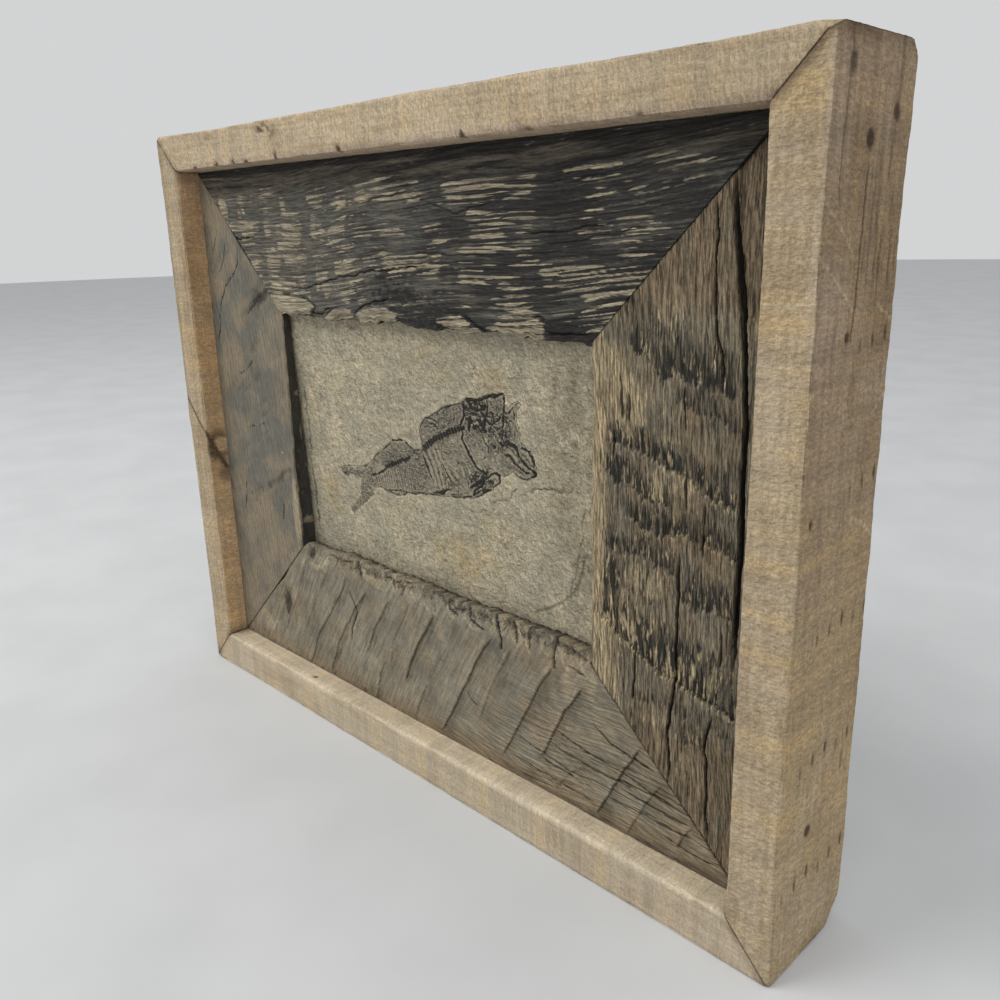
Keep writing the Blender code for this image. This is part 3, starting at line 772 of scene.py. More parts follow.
def buildOuterFrame():
    halfWidth = places["halfWidth"]
    height = places["height"]
    innerX = places["innerX"]
    front = places["front"]
    back = places["back"]
    gap = outerFrame["jointGap"] / 2 + outerFrame["endDepth"]
    slope = places["innerBottom"] / (halfWidth - innerX)
    outerBoard(
        "top", (-halfWidth, front, places["innerTop"]), (halfWidth, back, height),
        ((halfWidth - gap, height, 1, -1), (gap - halfWidth, height, -1, -1)), topShape, 11)
    outerBoard(
        "bottom", (-halfWidth, front, 0), (halfWidth, back, places["innerBottom"]),
        ((halfWidth - gap, 0, slope, 1), (gap - halfWidth, 0, -slope, 1)), bottomShape, 12)
    outerBoard(
        "left", (-halfWidth, front, 0), (-innerX, back, height),
        ((-halfWidth, height - gap, 1, 1), (-halfWidth, gap, slope, -1)), leftShape, 13)
    outerBoard(
        "right", (innerX, front, 0), (halfWidth, back, height),
        ((halfWidth, height - gap, -1, 1), (halfWidth, gap, -slope, -1)), rightShape, 14)


# Weathered boards.

def barnMaterial(name, along, looks, seed):
    material, shader = startMaterial(name)
    # grain runs along the board and across it by the flow the mesh carries
    spot = objectSpace()
    parts = put("SeparateXYZ", {0: spot}).outputs
    run = parts[0 if along == "x" else 2]
    flow = maskOf("flow")

    def alongGrain(byRun, byFlow, offset=0.0):
        runs = sums("MULTIPLY_ADD", run, byRun, seed * 7.3 + offset)
        return put("CombineXYZ", {0: runs, 1: times(parts[1], byFlow), 2: times(flow, byFlow)}).outputs[0]

    def streaky(mask, noise, mixing, width=0.16):
        bent = sums("MULTIPLY_ADD", sums("SUBTRACT", noise, 0.5), mixing, mask)
        return rampOf(bent, 0.5 - width, 0.5 + width)

    grey, brown, tan, black = (tone(*looks[key]) for key in ("grey", "brown", "tan", "black"))
    fibre = grainOf(alongGrain(looks["stretch"], 1), 0.9, 6, 0.68, 0.2)
    strand = grainOf(alongGrain(looks["stretch"] * 1.6, 1, 40), 0.55, 4, 0.6)
    pores = grainOf(alongGrain(looks["stretch"] * 0.6, 1, 80), 0.42, 3, 0.6)
    speck = grainOf(spot, 0.42, 3, 0.65)
    cloud = grainOf(alongGrain(0.5, 0.7, 120), 8, 4, 0.6)
    lumpy = reliefOf(alongGrain(0.16, 1, 160), 1.1, (0.1, 0, 0.3), 1 - looks["relief"], 1 + looks["relief"])
    shades = []
    if "slant" in looks:
        # part of the board is brushed at a slant, and shaded by its steps
        leaning = objectSpace((0, looks["slant"], 0), (0.16, 1, 1))
        slant = maskOf("slant")
        fibre = mixValues(slant, fibre, grainOf(leaning, 1.3, 5, 0.62, 0.3))
        lumpy = mixValues(slant, lumpy, reliefOf(leaning, 1.6, (0.1, 0, -0.3), 0.78, 1.22))
        shades = [put("MapRange", {"Value": maskOf("shadeAndTone"), "To Min": 0.4, "To Max": 1.6}).outputs[0]]
    dark = streaky(maskOf("dark"), fibre, looks["mixing"], 0.2)
    pale = streaky(maskOf("pale"), strand, looks["paleMixing"], 0.24)
    warm = streaky(maskOf("warm"), cloud, 1.8, 0.35)
    paint = layered(grey, (warm, brown), (times(dark, 0.95), black), (times(pale, 0.94), tan))
    value = times(
        rampOf(fibre, 0.3, 0.7, looks["grainLow"], looks["grainHigh"]),
        rampOf(pores, 0.33, 0.47, looks["pores"], 1),
        rampOf(speck, 0.28, 0.72, 0.84, 1.16),
        rampOf(cloud, 0.3, 0.7, 0.9, 1.1),
        *shades,
        lumpy,
        rampOf(maskOf("crack"), 0.1, 0.9, 1, 0.1))
    feed(shader, {
        "Base Color": shadeTone(paint, value),
        "Roughness": rampOf(speck, 0.2, 0.8, 0.7, 0.92),
        "Normal": bumpOf((fibre, looks["bump"], 1.0), (pores, 0.6 * looks["bump"], 1.0), (speck, 0.1, 1.0)),
        "Specular IOR Level": 0.25})
    return material


def barnBlank(side, board):
    # a sheet cut to its two mitres and given walls; back is how far behind the face each point is, 0 to 1
    innerX, openX = places["innerX"], places["openingX"]
    top, openTop = places["innerTop"], places["openingTop"]
    bottom, openBottom = places["innerBottom"], places["openingBottom"]
    gap = places["jointGap"] / 2
    slack = places["boardSlack"]
    y = places["barnFront"]
    bounds = {
        "top": (-innerX, innerX, openTop, top - slack),
        "bottom": (-innerX, innerX, bottom + slack, openBottom),
        "left": (-innerX + slack, -openX, bottom, top),
        "right": (openX, innerX - slack, bottom, top),
    }[side]
    level = side in ("top", "bottom")
    steps = (board["stepAlong"], board["stepAcross"])
    piece = newSheet("barn" + side.title(), *bounds, y, *(steps if level else reversed(steps)))
    upper = Vector((top - openTop, 0, innerX - openX)).normalized()
    lower = Vector((openBottom - bottom, 0, innerX - openX)).normalized()
    corners = {
        "top": [((openX, openTop), (upper.x, -upper.z)), ((-openX, openTop), (-upper.x, -upper.z))],
        "bottom": [((openX, openBottom), (lower.x, lower.z)), ((-openX, openBottom), (-lower.x, lower.z))],
        "left": [((-openX, openTop), (upper.x, upper.z)), ((-openX, openBottom), (lower.x, -lower.z))],
        "right": [((openX, openTop), (-upper.x, upper.z)), ((openX, openBottom), (-lower.x, -lower.z))],
    }[side]
    for (px, pz), (ax, az) in corners:
        trim(piece, (px - ax * gap, y, pz - az * gap), (ax, 0, az))
    depths = (0.5, 1.1, 1.9, 2.8, 3.5)
    growWalls(piece, depths)
    x, y, z = readPoints(piece)
    back = (y - places["barnFront"]) / depths[-1]
    low = (openTop - z) / (openTop - openBottom)
    thickTop, thickBottom = board["thickness"]
    thick = thickTop + (thickBottom - thickTop) * low
    return piece, x, z, back, thick


def mitreDistance(x, z):
    # distance from the nearest mitre line of the four boards
    found = np.full(x.shape, 99.0)
    for sign in (-1, 1):
        for opening, inner in (("openingTop", "innerTop"), ("openingBottom", "innerBottom")):
            line = ((sign * places["openingX"], places[opening]), (sign * places["innerX"], places[inner]))
            away, share = nearLine(x, z, line, 6)
            found = np.minimum(found, np.where(share > 0, away, 99.0))
    return found


def dressBarn(piece, masks, x, z, back, thick, deep):
    addMasks(piece, masks)
    writePoints(piece, x, places["barnFront"] + back * thick + deep * (1 - back), z)


def coverBarn(piece, side, board):
    along = "x" if side in ("top", "bottom") else "z"
    material = barnMaterial("weathered" + side.title(), along, board["looks"], board["seed"])
    finishPiece(piece, "barnwood_" + side, material)


topBoard = {
    "stepAlong": 0.8,
    "stepAcross": 0.28,
    "looks": {
        "grey": (90, 88, 81), "brown": (95, 88, 77), "tan": (153, 142, 120), "black": (39, 38, 36),
        "grainLow": 0.6, "grainHigh": 1.34, "pores": 0.45, "bump": 0.4, "stretch": 0.055, "mixing": 1.6,
        "paleMixing": 2.0, "relief": 0.32},
    "slot": "dark_barnwood",
    "seed": 1,
    "thickness": (3.5, 3.5),
    "mottled": ((-8, 165, 20, 6, 1), (66, 158, 10, 3, 0.9), (8, 160, 12, 5, 0.8), (-50, 162, 10, 4, 0.5)),
    "charSpots": ((65, 188, 11, 13, 0.2), (-10, 165, 16, 6, 0.05), (66, 158.5, 10, 3, 0.4)),
    "dashes": (  # x from, to, z from, to, strength
        (-108, -84, 185.5, 189.5, 1), (-104, -88, 181.5, 184.5, 0.9), (-110, -88, 194, 198.5, 0.5),
        (-81, -72, 182, 201, 0.62), (-100, -80, 171, 178, 0.75), (-83, -71, 170, 180, 0.8),
        (-90, -55, 163, 169.5, 0.95), (-70, -56.5, 180, 192, 0.85), (-68, -55, 170, 179, 0.8),
        (-52, -42, 182.5, 189, 0.85), (-51, -43, 172, 179, 0.7), (-49, -41, 192, 200, 0.6),
        (-41, -33, 180, 189, 0.72), (-38, -30, 189, 196, 0.75), (-35, -24, 174, 182, 0.8),
        (-45, -28, 164.5, 170.5, 0.75), (-24, 2, 194, 201, 0.72), (-28, -14, 182, 189, 0.62),
        (-14, 2, 183, 189, 0.7), (-12, 16, 171.5, 178.5, 0.95), (0, 8, 192, 200, 0.85),
        (9, 20, 180, 188, 0.6), (17, 55, 192.5, 199, 0.85), (29, 54, 186.5, 192.5, 0.85),
        (30, 44, 180.5, 187, 0.72), (25, 55, 178.8, 181, 0.8), (47, 56.5, 182, 190, 0.75),
        (45, 54, 175, 179.5, 0.7), (21, 38, 169.5, 175.5, 0.95), (39, 56, 160.5, 172, 0.85),
        (70, 90, 159.5, 171, 0.95), (55, 96, 169.5, 175.5, 0.85), (58, 70, 161, 167, 0.5),
        (66, 84, 195.5, 200.5, 0.85), (73, 80, 189, 194.5, 0.7), (72, 80, 181.5, 187.5, 0.75),
        (92, 108, 194.5, 201, 0.72), (87, 95, 191, 194, 0.7), (82, 98, 183.5, 187.5, 0.9),
        (80, 90, 178, 182, 0.8), (91, 97, 180, 183, 0.6), (14, 28, 163, 169, 0.4),
        (-16, 8, 161, 168, 0.35)),
    "leaves": (
        ((-80, 163), (-66, 163.3), (-56, 162.3), (-52, 160), (-56, 157), (-70, 156), (-80, 155.8)),
        ((-46.5, 156.6), (-43, 158.6), (-37, 160.4), (-31, 160), (-30, 157.5), (-36, 155.9), (-44, 155.7)),
        ((-27.5, 158.8), (-24, 160.2), (-18, 161), (-12, 161.4), (-6, 160.3), (-8, 156.8), (-14, 155.8),
         (-22, 155.6), (-26, 156.6)),
        ((13, 158.8), (17, 160.4), (24, 160.7), (28, 158.7), (33.5, 156), (30, 155.4), (22, 155.5),
         (17, 157)),
        ((34.5, 157.8), (40, 159.8), (48, 160.4), (55, 161.7), (57.5, 160.2), (57, 157), (52, 156),
         (44, 155.5), (38, 155.8))),
    "lean": (
        (-130, 0), (-100, 0.4), (-60, 1.5), (-40, 4.5), (-20, 7.2), (0, 9), (22, 10.6), (60, 12.5),
        (100, 17.5), (126, 22)),
    "cracks": (
        (((-70, 166.2), (-58, 166.3), (-40, 169.8), (-20, 172.8), (0, 174.3), (14, 173.6)), 0.5, 0.6),
        (((-105, 184), (-96, 183.4), (-88, 183.6)), 0.8, 0.6),
        (((50, 183.8), (62, 184.2), (80, 186)), 0.45, 0.5),
        (((4, 178.3), (20, 178.3), (44, 178.6)), 0.4, 0.4), (((8, 194), (22, 190), (40, 192)), 0.35, 0.4),
        (((66, 196), (80, 198.6), (97, 201)), 0.35, 0.35),
        (((-20, 194.3), (-10, 195.4), (4, 197)), 0.45, 0.4),
        (((58, 181), (72, 182.4), (92, 185.5)), 0.35, 0.35),
        (((-55, 157.6), (-47, 158.6), (-42, 160.2)), 0.8, 0.7),
        (((-30, 158.6), (-24, 161.2), (-18, 163.2), (-10, 164.6)), 0.8, 0.7),
        (((-40, 154.9), (-34, 155.4), (-28, 156.8)), 0.7, 0.6),
        (((25, 160.9), (29, 159.4), (34.5, 156.4)), 0.9, 0.7),
        (((12, 157.2), (15, 156.2), (20, 155.2)), 0.5, 0.5),
        (((52, 162), (56, 162.3), (58, 160.4)), 0.7, 0.7),
        (((58, 158.6), (66, 158.4), (75, 159.2)), 0.8, 0.6)),
}


def ragged(x, z, box, edgeX, edgeZ):
    # 1 inside a box and 0 outside, with its ends and sides wandering by the given fields
    x0, x1, z0, z1 = box
    ends = np.minimum(x - x0, x1 - x) + edgeX
    sides = np.minimum(z - z0, z1 - z) + edgeZ
    return ease(ends, -1, 2) * ease(sides, -0.5, 0.6)


def dashCover(x, z, v, row, column):
    # how thickly the pale dashes stand: in the boxes above, and in loose columns on the left
    ends = 3.2 * clouds(x, v, 6, 1.1, 28, 2)
    cover = np.zeros_like(x)
    for x0, x1, z0, z1, strength in topBoard["dashes"]:
        near = (x > x0 - 6) & (x < x1 + 6) & (z > z0 - 3) & (z < z1 + 3)
        inside = ragged(x[near], z[near], (x0, x1, z0, z1), ends[near], 0.8 * row[near])
        cover[near] = np.maximum(cover[near], strength * inside)
    cover = cover * (1 - 0.2 * ease(-x, -10, 50) * ease(-column, -0.1, 0.35))
    loose = 0.85 * ease(-x, -30, 50) * ease(column, -0.15, 0.3)
    loose = loose * ease(clouds(x, z, 14, 6, 33, 2), -0.6, 0.1)
    return np.maximum(cover, loose * ease(-z, -203, -195))


def leafCover(x, z, row):
    # the pale scales that are left along the lower edge, and the dark rims round them
    cover = np.full(x.shape, -9.0)
    for outline in topBoard["leaves"]:
        away = nearLine(x, z, outline + outline[:1], 3)[0]
        cover = np.maximum(cover, np.where(insideOutline(x, z, outline), away, -away))
    cover = cover + 0.2 * row + 0.3 * clouds(x, z, 2.5, 1, 30, 2)
    onLeaf = ease(cover, -0.5, 0.2)
    rim = ease(cover, -1.6, -0.5) * (1 - onLeaf) * ease(clouds(x, z, 7, 4, 31, 2), -0.3, 0.3)
    return onLeaf, rim


def buildTopBoard():
    piece, x, z, back, thick = barnBlank("top", topBoard)
    leanX, leanZ = zip(*topBoard["lean"])
    lean = np.interp(x, leanX, leanZ) * (1 - 0.35 * ease(z, 172, 190))
    v = z - lean + 0.8 * clouds(x, z, 40, 14, 3, 2)
    row = 0.6 * clouds(x, v, 14, 0.6, 21, 2, 0.4)
    row = row + 0.62 * np.sin(2 * np.pi * (v / 2.0 + 0.6 * clouds(x, v, 26, 5, 34, 2)))
    streak = clouds(x, v, 30, 0.55, 22, 4, 0.6)
    column = clouds(x + 0.12 * z, z, 4, 14, 23, 2, 0.5)
    leftward = ease(-x, -10, 50)
    dashes = dashCover(x, z, v, row, column)
    rows = row * (1 - 0.42 * leftward) + 0.6 * streak
    pale = dashes * ease(dashes + rows + 0.34 * leftward - 0.12 * ease(x, 20, 80), 0.5, 1.5)
    pale = pale + (0.12 + 0.26 * dashes) * ease(streak, -0.1, 0.8)
    onLeaf, rim = leafCover(x, z, row)
    pale = np.maximum(pale * (1 - 0.7 * rim), onLeaf * (0.86 + 0.4 * streak + 0.1 * row))
    deep, dark = grooves(x, z, topBoard["cracks"], 0.5)
    dark = np.maximum(dark, 0.7 * ease(-streak, 0.45, 0.8) * (0.4 + 0.6 * ease(x, -60, 20)))
    mottled = patches(x, z, topBoard["mottled"])
    deep = deep + 0.34 + 0.14 * streak + 0.10 * row - 0.12 * pale + 0.22 * clouds(x, z, 40, 25, 24, 2)
    deep = deep + mottled * 0.2 * clouds(x, z, 1.4, 1.1, 25, 2)
    # the edge over the stone is scalloped and worn back
    edge = ease(-z, -160, -places["openingTop"])
    scallops = -0.5 * np.sin(x * 0.118) - 0.3 * np.sin(x * 0.26 + 1) + 0.6 * clouds(x, z * 0, 3, 1, 26, 3)
    mitre = mitreDistance(x, z)
    z = z + scallops * edge * ease(mitre, 0, 3)
    deep = deep + 0.7 * edge * edge - 0.2 * onLeaf + 0.3 * rim
    charAndShade = 0.16 + 0.5 * ease(x, -80, 40) - 0.26 * ease(streak, 0, 0.6)
    charAndShade = charAndShade + 0.2 * clouds(x, v, 22, 5, 27, 3) + 0.1 * column * (x < 0)
    charAndShade = np.maximum(charAndShade + patches(x, z, topBoard["charSpots"]), 0.7 * rim)
    charAndShade = charAndShade + 0.3 * mottled * ease(clouds(x, z, 1.6, 1.2, 32, 2), 0, 0.5)
    # a brown band along the top, then painted shadow in the last two millimetres under the outer board
    upper = ease(z, 198, 203)
    charAndShade = charAndShade * (1 - upper) + upper * (0.5 + 0.3 * clouds(x, v, 30, 2, 29, 3)) + 0.5 * ease(z, 205.2, 207.2)
    masks = {
        "flow": v,
        "pale": pale * (1 - 0.6 * dark) * (back < 0.3),
        "dark": charAndShade + 0.5 * back,
        "warm": 0.25 + 0.6 * upper + 0.15 * ease(-x, -20, 80),
        "crack": np.maximum(0.8 * dark, 0.3 * ease(0.7 - mitre, 0, 0.5) * ease(x, 40, 70)),
    }
    dressBarn(piece, masks, x, z, back, thick, deep)
    coverBarn(piece, "top", topBoard)


bottomBoard = {
    "stepAlong": 0.5,
    "stepAcross": 0.4,
    "looks": {
        "grey": (128, 122, 106), "brown": (124, 111, 91), "tan": (152, 139, 114), "black": (58, 53, 46),
        "grainLow": 0.84, "grainHigh": 1.14, "pores": 0.78, "bump": 0.2, "stretch": 0.1, "mixing": 1.2,
        "paleMixing": 1.0, "relief": 0.3, "slant": 1.012},
    "slot": "grey_barnwood",
    "seed": 2,
    "thickness": (7, 7),
    "paleSpots": (
        (-64, 59.6, 6, 1.6, 0.6), (-28, 63.4, 5, 1.8, 0.8), (65, 55, 3.6, 6, 0.6), (74, 58, 3, 5, 0.55),
        (-104, 28, 8, 9, 0.6), (-50, 45, 3, 6, 0.35), (-38, 44, 2.5, 5, 0.3), (80, 50, 7, 5, 0.4),
        (-83, 42, 3, 7, 0.5), (20, 50, 5, 8, 0.25), (-2, 36, 4, 6, 0.25), (60, 42, 4, 6, 0.3)),
    "smudges": (
        (54, 46, 5, 7, 1), (36, 48, 9, 8, 0.5), (-76, 54, 5, 4.5, 0.8), (44, 56, 6, 3, 0.5),
        (20, 57, 8, 4, 0.5), (-36, 57, 9, 4, 0.6), (-50, 60, 8, 3, 0.4), (62, 54, 2, 4, 0.8),
        (-60, 30, 12, 9, 0.3), (-52, 27, 7, 6, 0.4)),
    "kerfs": (  # line from its top down, how sharp its step is
        (((-84, 48), (-92, 36), (-104, 17)), 0.4), (((-71, 62), (-79, 48), (-92, 25)), 0.45),
        (((-58, 60), (-68, 45), (-80, 25)), 0.4),
        (((-46, 60), (-52, 50), (-58, 42), (-68, 30), (-75, 15)), 0.75),
        (((-33, 58), (-42, 48), (-54, 31), (-61, 15)), 0.75), (((-20, 58), (-30, 44), (-36, 32)), 0.7),
        (((-24, 33), (-28, 26), (-31, 15)), 0.6), (((-14, 57), (-24, 42), (-30, 31)), 0.3),
        (((-8, 60), (-19, 43), (-21, 31)), 0.45),
        (((5, 60), (0, 52.5), (-6, 43), (-9.5, 36), (-13, 29)), 1), (((0, 33), (-4, 26), (-8, 16)), 0.55),
        (((16, 61), (12, 52), (6, 43), (0, 33)), 0.35),
        (((33, 60), (26, 51), (20, 40), (15, 31), (7, 17)), 1),
        (((42, 59), (34, 46), (30, 38), (26, 28)), 0.5),
        (((59, 59), (53, 50), (48, 40), (43, 31), (37, 20)), 0.9),
        (((71, 56), (64, 46), (58, 34), (53.5, 26)), 1), (((73, 31), (66, 26), (60, 17)), 0.4),
        (((92, 45), (88, 38), (82, 27), (77, 17)), 1), (((100, 37), (94, 28), (88, 15)), 0.6),
        (((110, 28.5), (107.5, 24), (105, 19)), 0.7)),
    "cracks": (
        (((-45, 56), (-41, 50), (-40, 47), (-44, 40), (-45, 34)), 0.7, 0.8),
        (((75, 46), (82, 42.3), (90, 40.7), (98, 39.8)), 0.6, 0.5),
        (((60, 38), (68, 36.6), (76, 35.2), (82, 35)), 0.45, 0.4),
        (((57, 33), (64, 31.8), (78, 31), (92, 31)), 0.4, 0.35),
        (((43, 29.5), (52, 28.4), (62, 27), (72, 26)), 0.35, 0.3),
        (((20, 37), (22, 34.5), (26, 33)), 0.4, 0.3), (((54, 26.3), (60, 25.4), (68, 25)), 0.5, 0.5),
        (((84, 35), (96, 32.5), (104, 32)), 0.4, 0.35), (((86, 29), (98, 28), (109, 28)), 0.45, 0.4),
        (((80, 24), (95, 24.5), (110, 24)), 0.4, 0.35), (((40, 22), (60, 20.5), (78, 20)), 0.35, 0.3),
        (((100, 21), (110, 19.6), (119, 20)), 0.4, 0.35),
        (((33, 66), (36, 62.5), (37.5, 60), (37, 57)), 0.8, 0.9),
        (((60, 66), (59.4, 62), (60, 58)), 0.8, 0.9), (((11, 66), (12.5, 63.5), (17, 62)), 0.6, 0.6),
        (((21, 66), (23, 62.5), (30, 61)), 0.6, 0.6), (((41, 66), (43, 64), (44.6, 61)), 0.6, 0.6),
        (((49, 66), (48.6, 63.5), (50, 61)), 0.5, 0.5),
        (((-118, 24), (-104, 37), (-95, 45), (-86, 53)), 1.1, 1)),
    "knot": (-89.5, 40, 4.6, 7),
    "curls": (  # raised pale tufts: line, width
        (((11, 67), (12, 64), (14.5, 61.7), (18, 60.5)), 1.6),
        (((20, 64.5), (21, 62.3), (24, 61), (29, 60.6)), 1.5), (((33, 67), (35, 63.5), (36.6, 60)), 1.7),
        (((40.5, 66), (42, 63.3), (44.6, 61)), 1.2), (((47.5, 64.5), (49, 61.6), (51, 59.6)), 1.2),
        (((61, 66.5), (62.6, 64), (64, 61), (66.6, 58.6)), 2), (((70, 64), (71, 61.5), (73, 60)), 1.2),
        (((0, 62.4), (2.5, 60.8), (4, 59)), 1.4),
        (((-36, 66.5), (-33, 63.5), (-28, 61.8), (-22, 61.5)), 2.8),
        (((-70, 60), (-66, 59.2), (-62, 60), (-57, 64)), 2.6), (((-8, 64.5), (-5, 62.4), (-2, 61.8)), 1.3),
        (((-19, 66), (-17, 63), (-14.6, 61)), 1.2), (((-50, 64), (-47, 61.6), (-44, 60.4)), 1.4),
        (((25.6, 66.6), (27, 64), (29.4, 62.4)), 1.1), (((54, 66.4), (55, 63.6), (57, 61.8)), 1.2)),
    "hollows": (  # dark crescents behind the tufts: line, width
        (((12, 67), (14, 64.8), (18, 64.6), (20.5, 65.8)), 1.8),
        (((32, 67.2), (35, 65.6), (37, 61.6), (37.4, 57.4)), 1.3),
        (((36.5, 66.8), (41, 66.8), (44, 65.6)), 1.4), (((49.4, 66.5), (49, 63.3), (49.3, 60.6)), 0.9),
        (((58.6, 66), (59.6, 63.2), (59.8, 58)), 1.3), (((60, 66.8), (66, 66), (72, 64.6)), 1.6),
        (((26, 66), (31, 66)), 0.9), (((3, 67.2), (9, 66.6)), 1),
        (((-22, 66.2), (-17, 65.6), (-12, 66.6), (-5, 67.6)), 1),
        (((-40, 67.6), (-37.4, 64), (-36.4, 61)), 2.6), (((-70, 62), (-68, 65.4)), 4.2),
        (((-57, 66), (-50, 65.6), (-42, 67)), 0.9), (((-11.4, 65.4), (-12.4, 61.6)), 0.9),
        (((65.6, 61.4), (69, 60.4), (72, 60.2)), 1), (((5, 64), (5.6, 61)), 0.7),
        (((22, 67), (23.4, 64.6)), 0.8)),
    "hairs": {"count": 260, "seed": 58, "across": (-70, 74), "height": 2.6},
}


def addHairs(name, hairs, level):
    # loose fibres along a torn edge, each a thin bent spike
    chance = np.random.default_rng(hairs["seed"])
    points = []
    faces = []
    for _ in range(hairs["count"]):
        rootX = chance.uniform(*hairs["across"])
        rootZ = level + chance.uniform(-2.4, 0.6)
        lean = chance.normal(0.5, 0.7)
        bend = chance.normal(0.0, 0.5)
        reach = hairs["height"] * chance.uniform(0.35, 1.0)
        outward = chance.uniform(-0.35, 0.5)
        width = chance.uniform(0.10, 0.2)
        start = len(points)
        for step in range(4):
            share = step / 3
            rise = reach * share
            x = rootX + rise * (lean + bend * share)
            y = places["barnFront"] + 0.75 + rise * outward + 0.5 * share * share
            z = rootZ + rise
            half = width * (1 - 0.85 * share)
            points += [(x - half, y, z), (x + half, y, z), (x, y + 1.4 * half, z)]
        for step in range(3):
            a = start + 3 * step
            for side in range(3):
                b = (side + 1) % 3
                faces.append((a + side, a + b, a + 3 + b, a + 3 + side))
        faces.append((start + 2, start + 1, start))
        faces.append((start + 9, start + 10, start + 11))
    mesh = bpy.data.meshes.new(name)
    mesh.from_pydata([[c * mm for c in point] for point in points], [], faces)
    made = bpy.data.objects.new(name, mesh)
    bpy.context.scene.collection.objects.link(made)
    return made


def joinOnto(piece, extra):
    choose(piece)
    extra.select_set(True)
    bpy.ops.object.join()


def sawSteps(x, z):
    # the slanting saw marks: the slope beyond each (also painted with shade), its line (painted as a dark
    # shadow), its raised lip (painted with a highlight) and the pale bloom at its top
    step, line, lip, bloom = (np.zeros_like(x) for _ in range(4))
    wave = 0.4 * clouds(x, z, 5, 5, 43, 3)
    for path, sharp in bottomBoard["kerfs"]:
        levels, middles = zip(*sorted((pz, px) for px, pz in path))
        across = x - np.interp(z, levels, middles) - wave
        live = ease(z, levels[0] - 2.5, levels[0] + 2.5) * ease(-z, -levels[-1] - 1.5, -levels[-1] + 3)
        top = ease(z, levels[-1] - 9, levels[-1] - 2) * (levels[-1] > 54)
        step = np.maximum(step, sharp * live * np.clip(1 - across / 8.0, 0, 1) ** 1.5 * (across > 0))
        line = np.maximum(line, sharp * live * np.exp(-((across - 0.15) / 0.26) ** 2))
        lip = np.maximum(lip, sharp * live * np.exp(-((across + 0.45) / 0.4) ** 2))
        bloom = np.maximum(bloom, (0.5 + 0.5 * sharp) * live * top * np.exp(-((across + 1.5) / 1.4) ** 2))
    return step, line, lip, bloom


def tuftCover(x, z):
    # the raised pale tufts of the torn edge, and the dark hollows behind them
    wx = x + 0.35 * clouds(x, z, 2.2, 2.2, 53, 2)
    wz = z + 0.35 * clouds(x, z, 2.2, 2.2, 54, 2)
    crest = np.zeros_like(x)
    for path, width in bottomBoard["curls"]:
        away, share = nearLine(wx, wz, path, width + 1)
        over = ease(1.25 - away / (width * 0.62), 0, 1) * (share > 0)
        crest = np.maximum(crest, over * (1.1 - 0.45 * share))
    hollow = np.zeros_like(x)
    for path, width in bottomBoard["hollows"]:
        away, share = nearLine(wx, wz, path, width + 1)
        taper = np.clip(np.minimum(share, 1 - share) * 6 + 0.35, 0, 1)
        hollow = np.maximum(hollow, ease(1.3 - away / (width / 2 * taper), 0, 1.1) * (share > 0))
    return crest, hollow * (1 - 0.8 * crest)


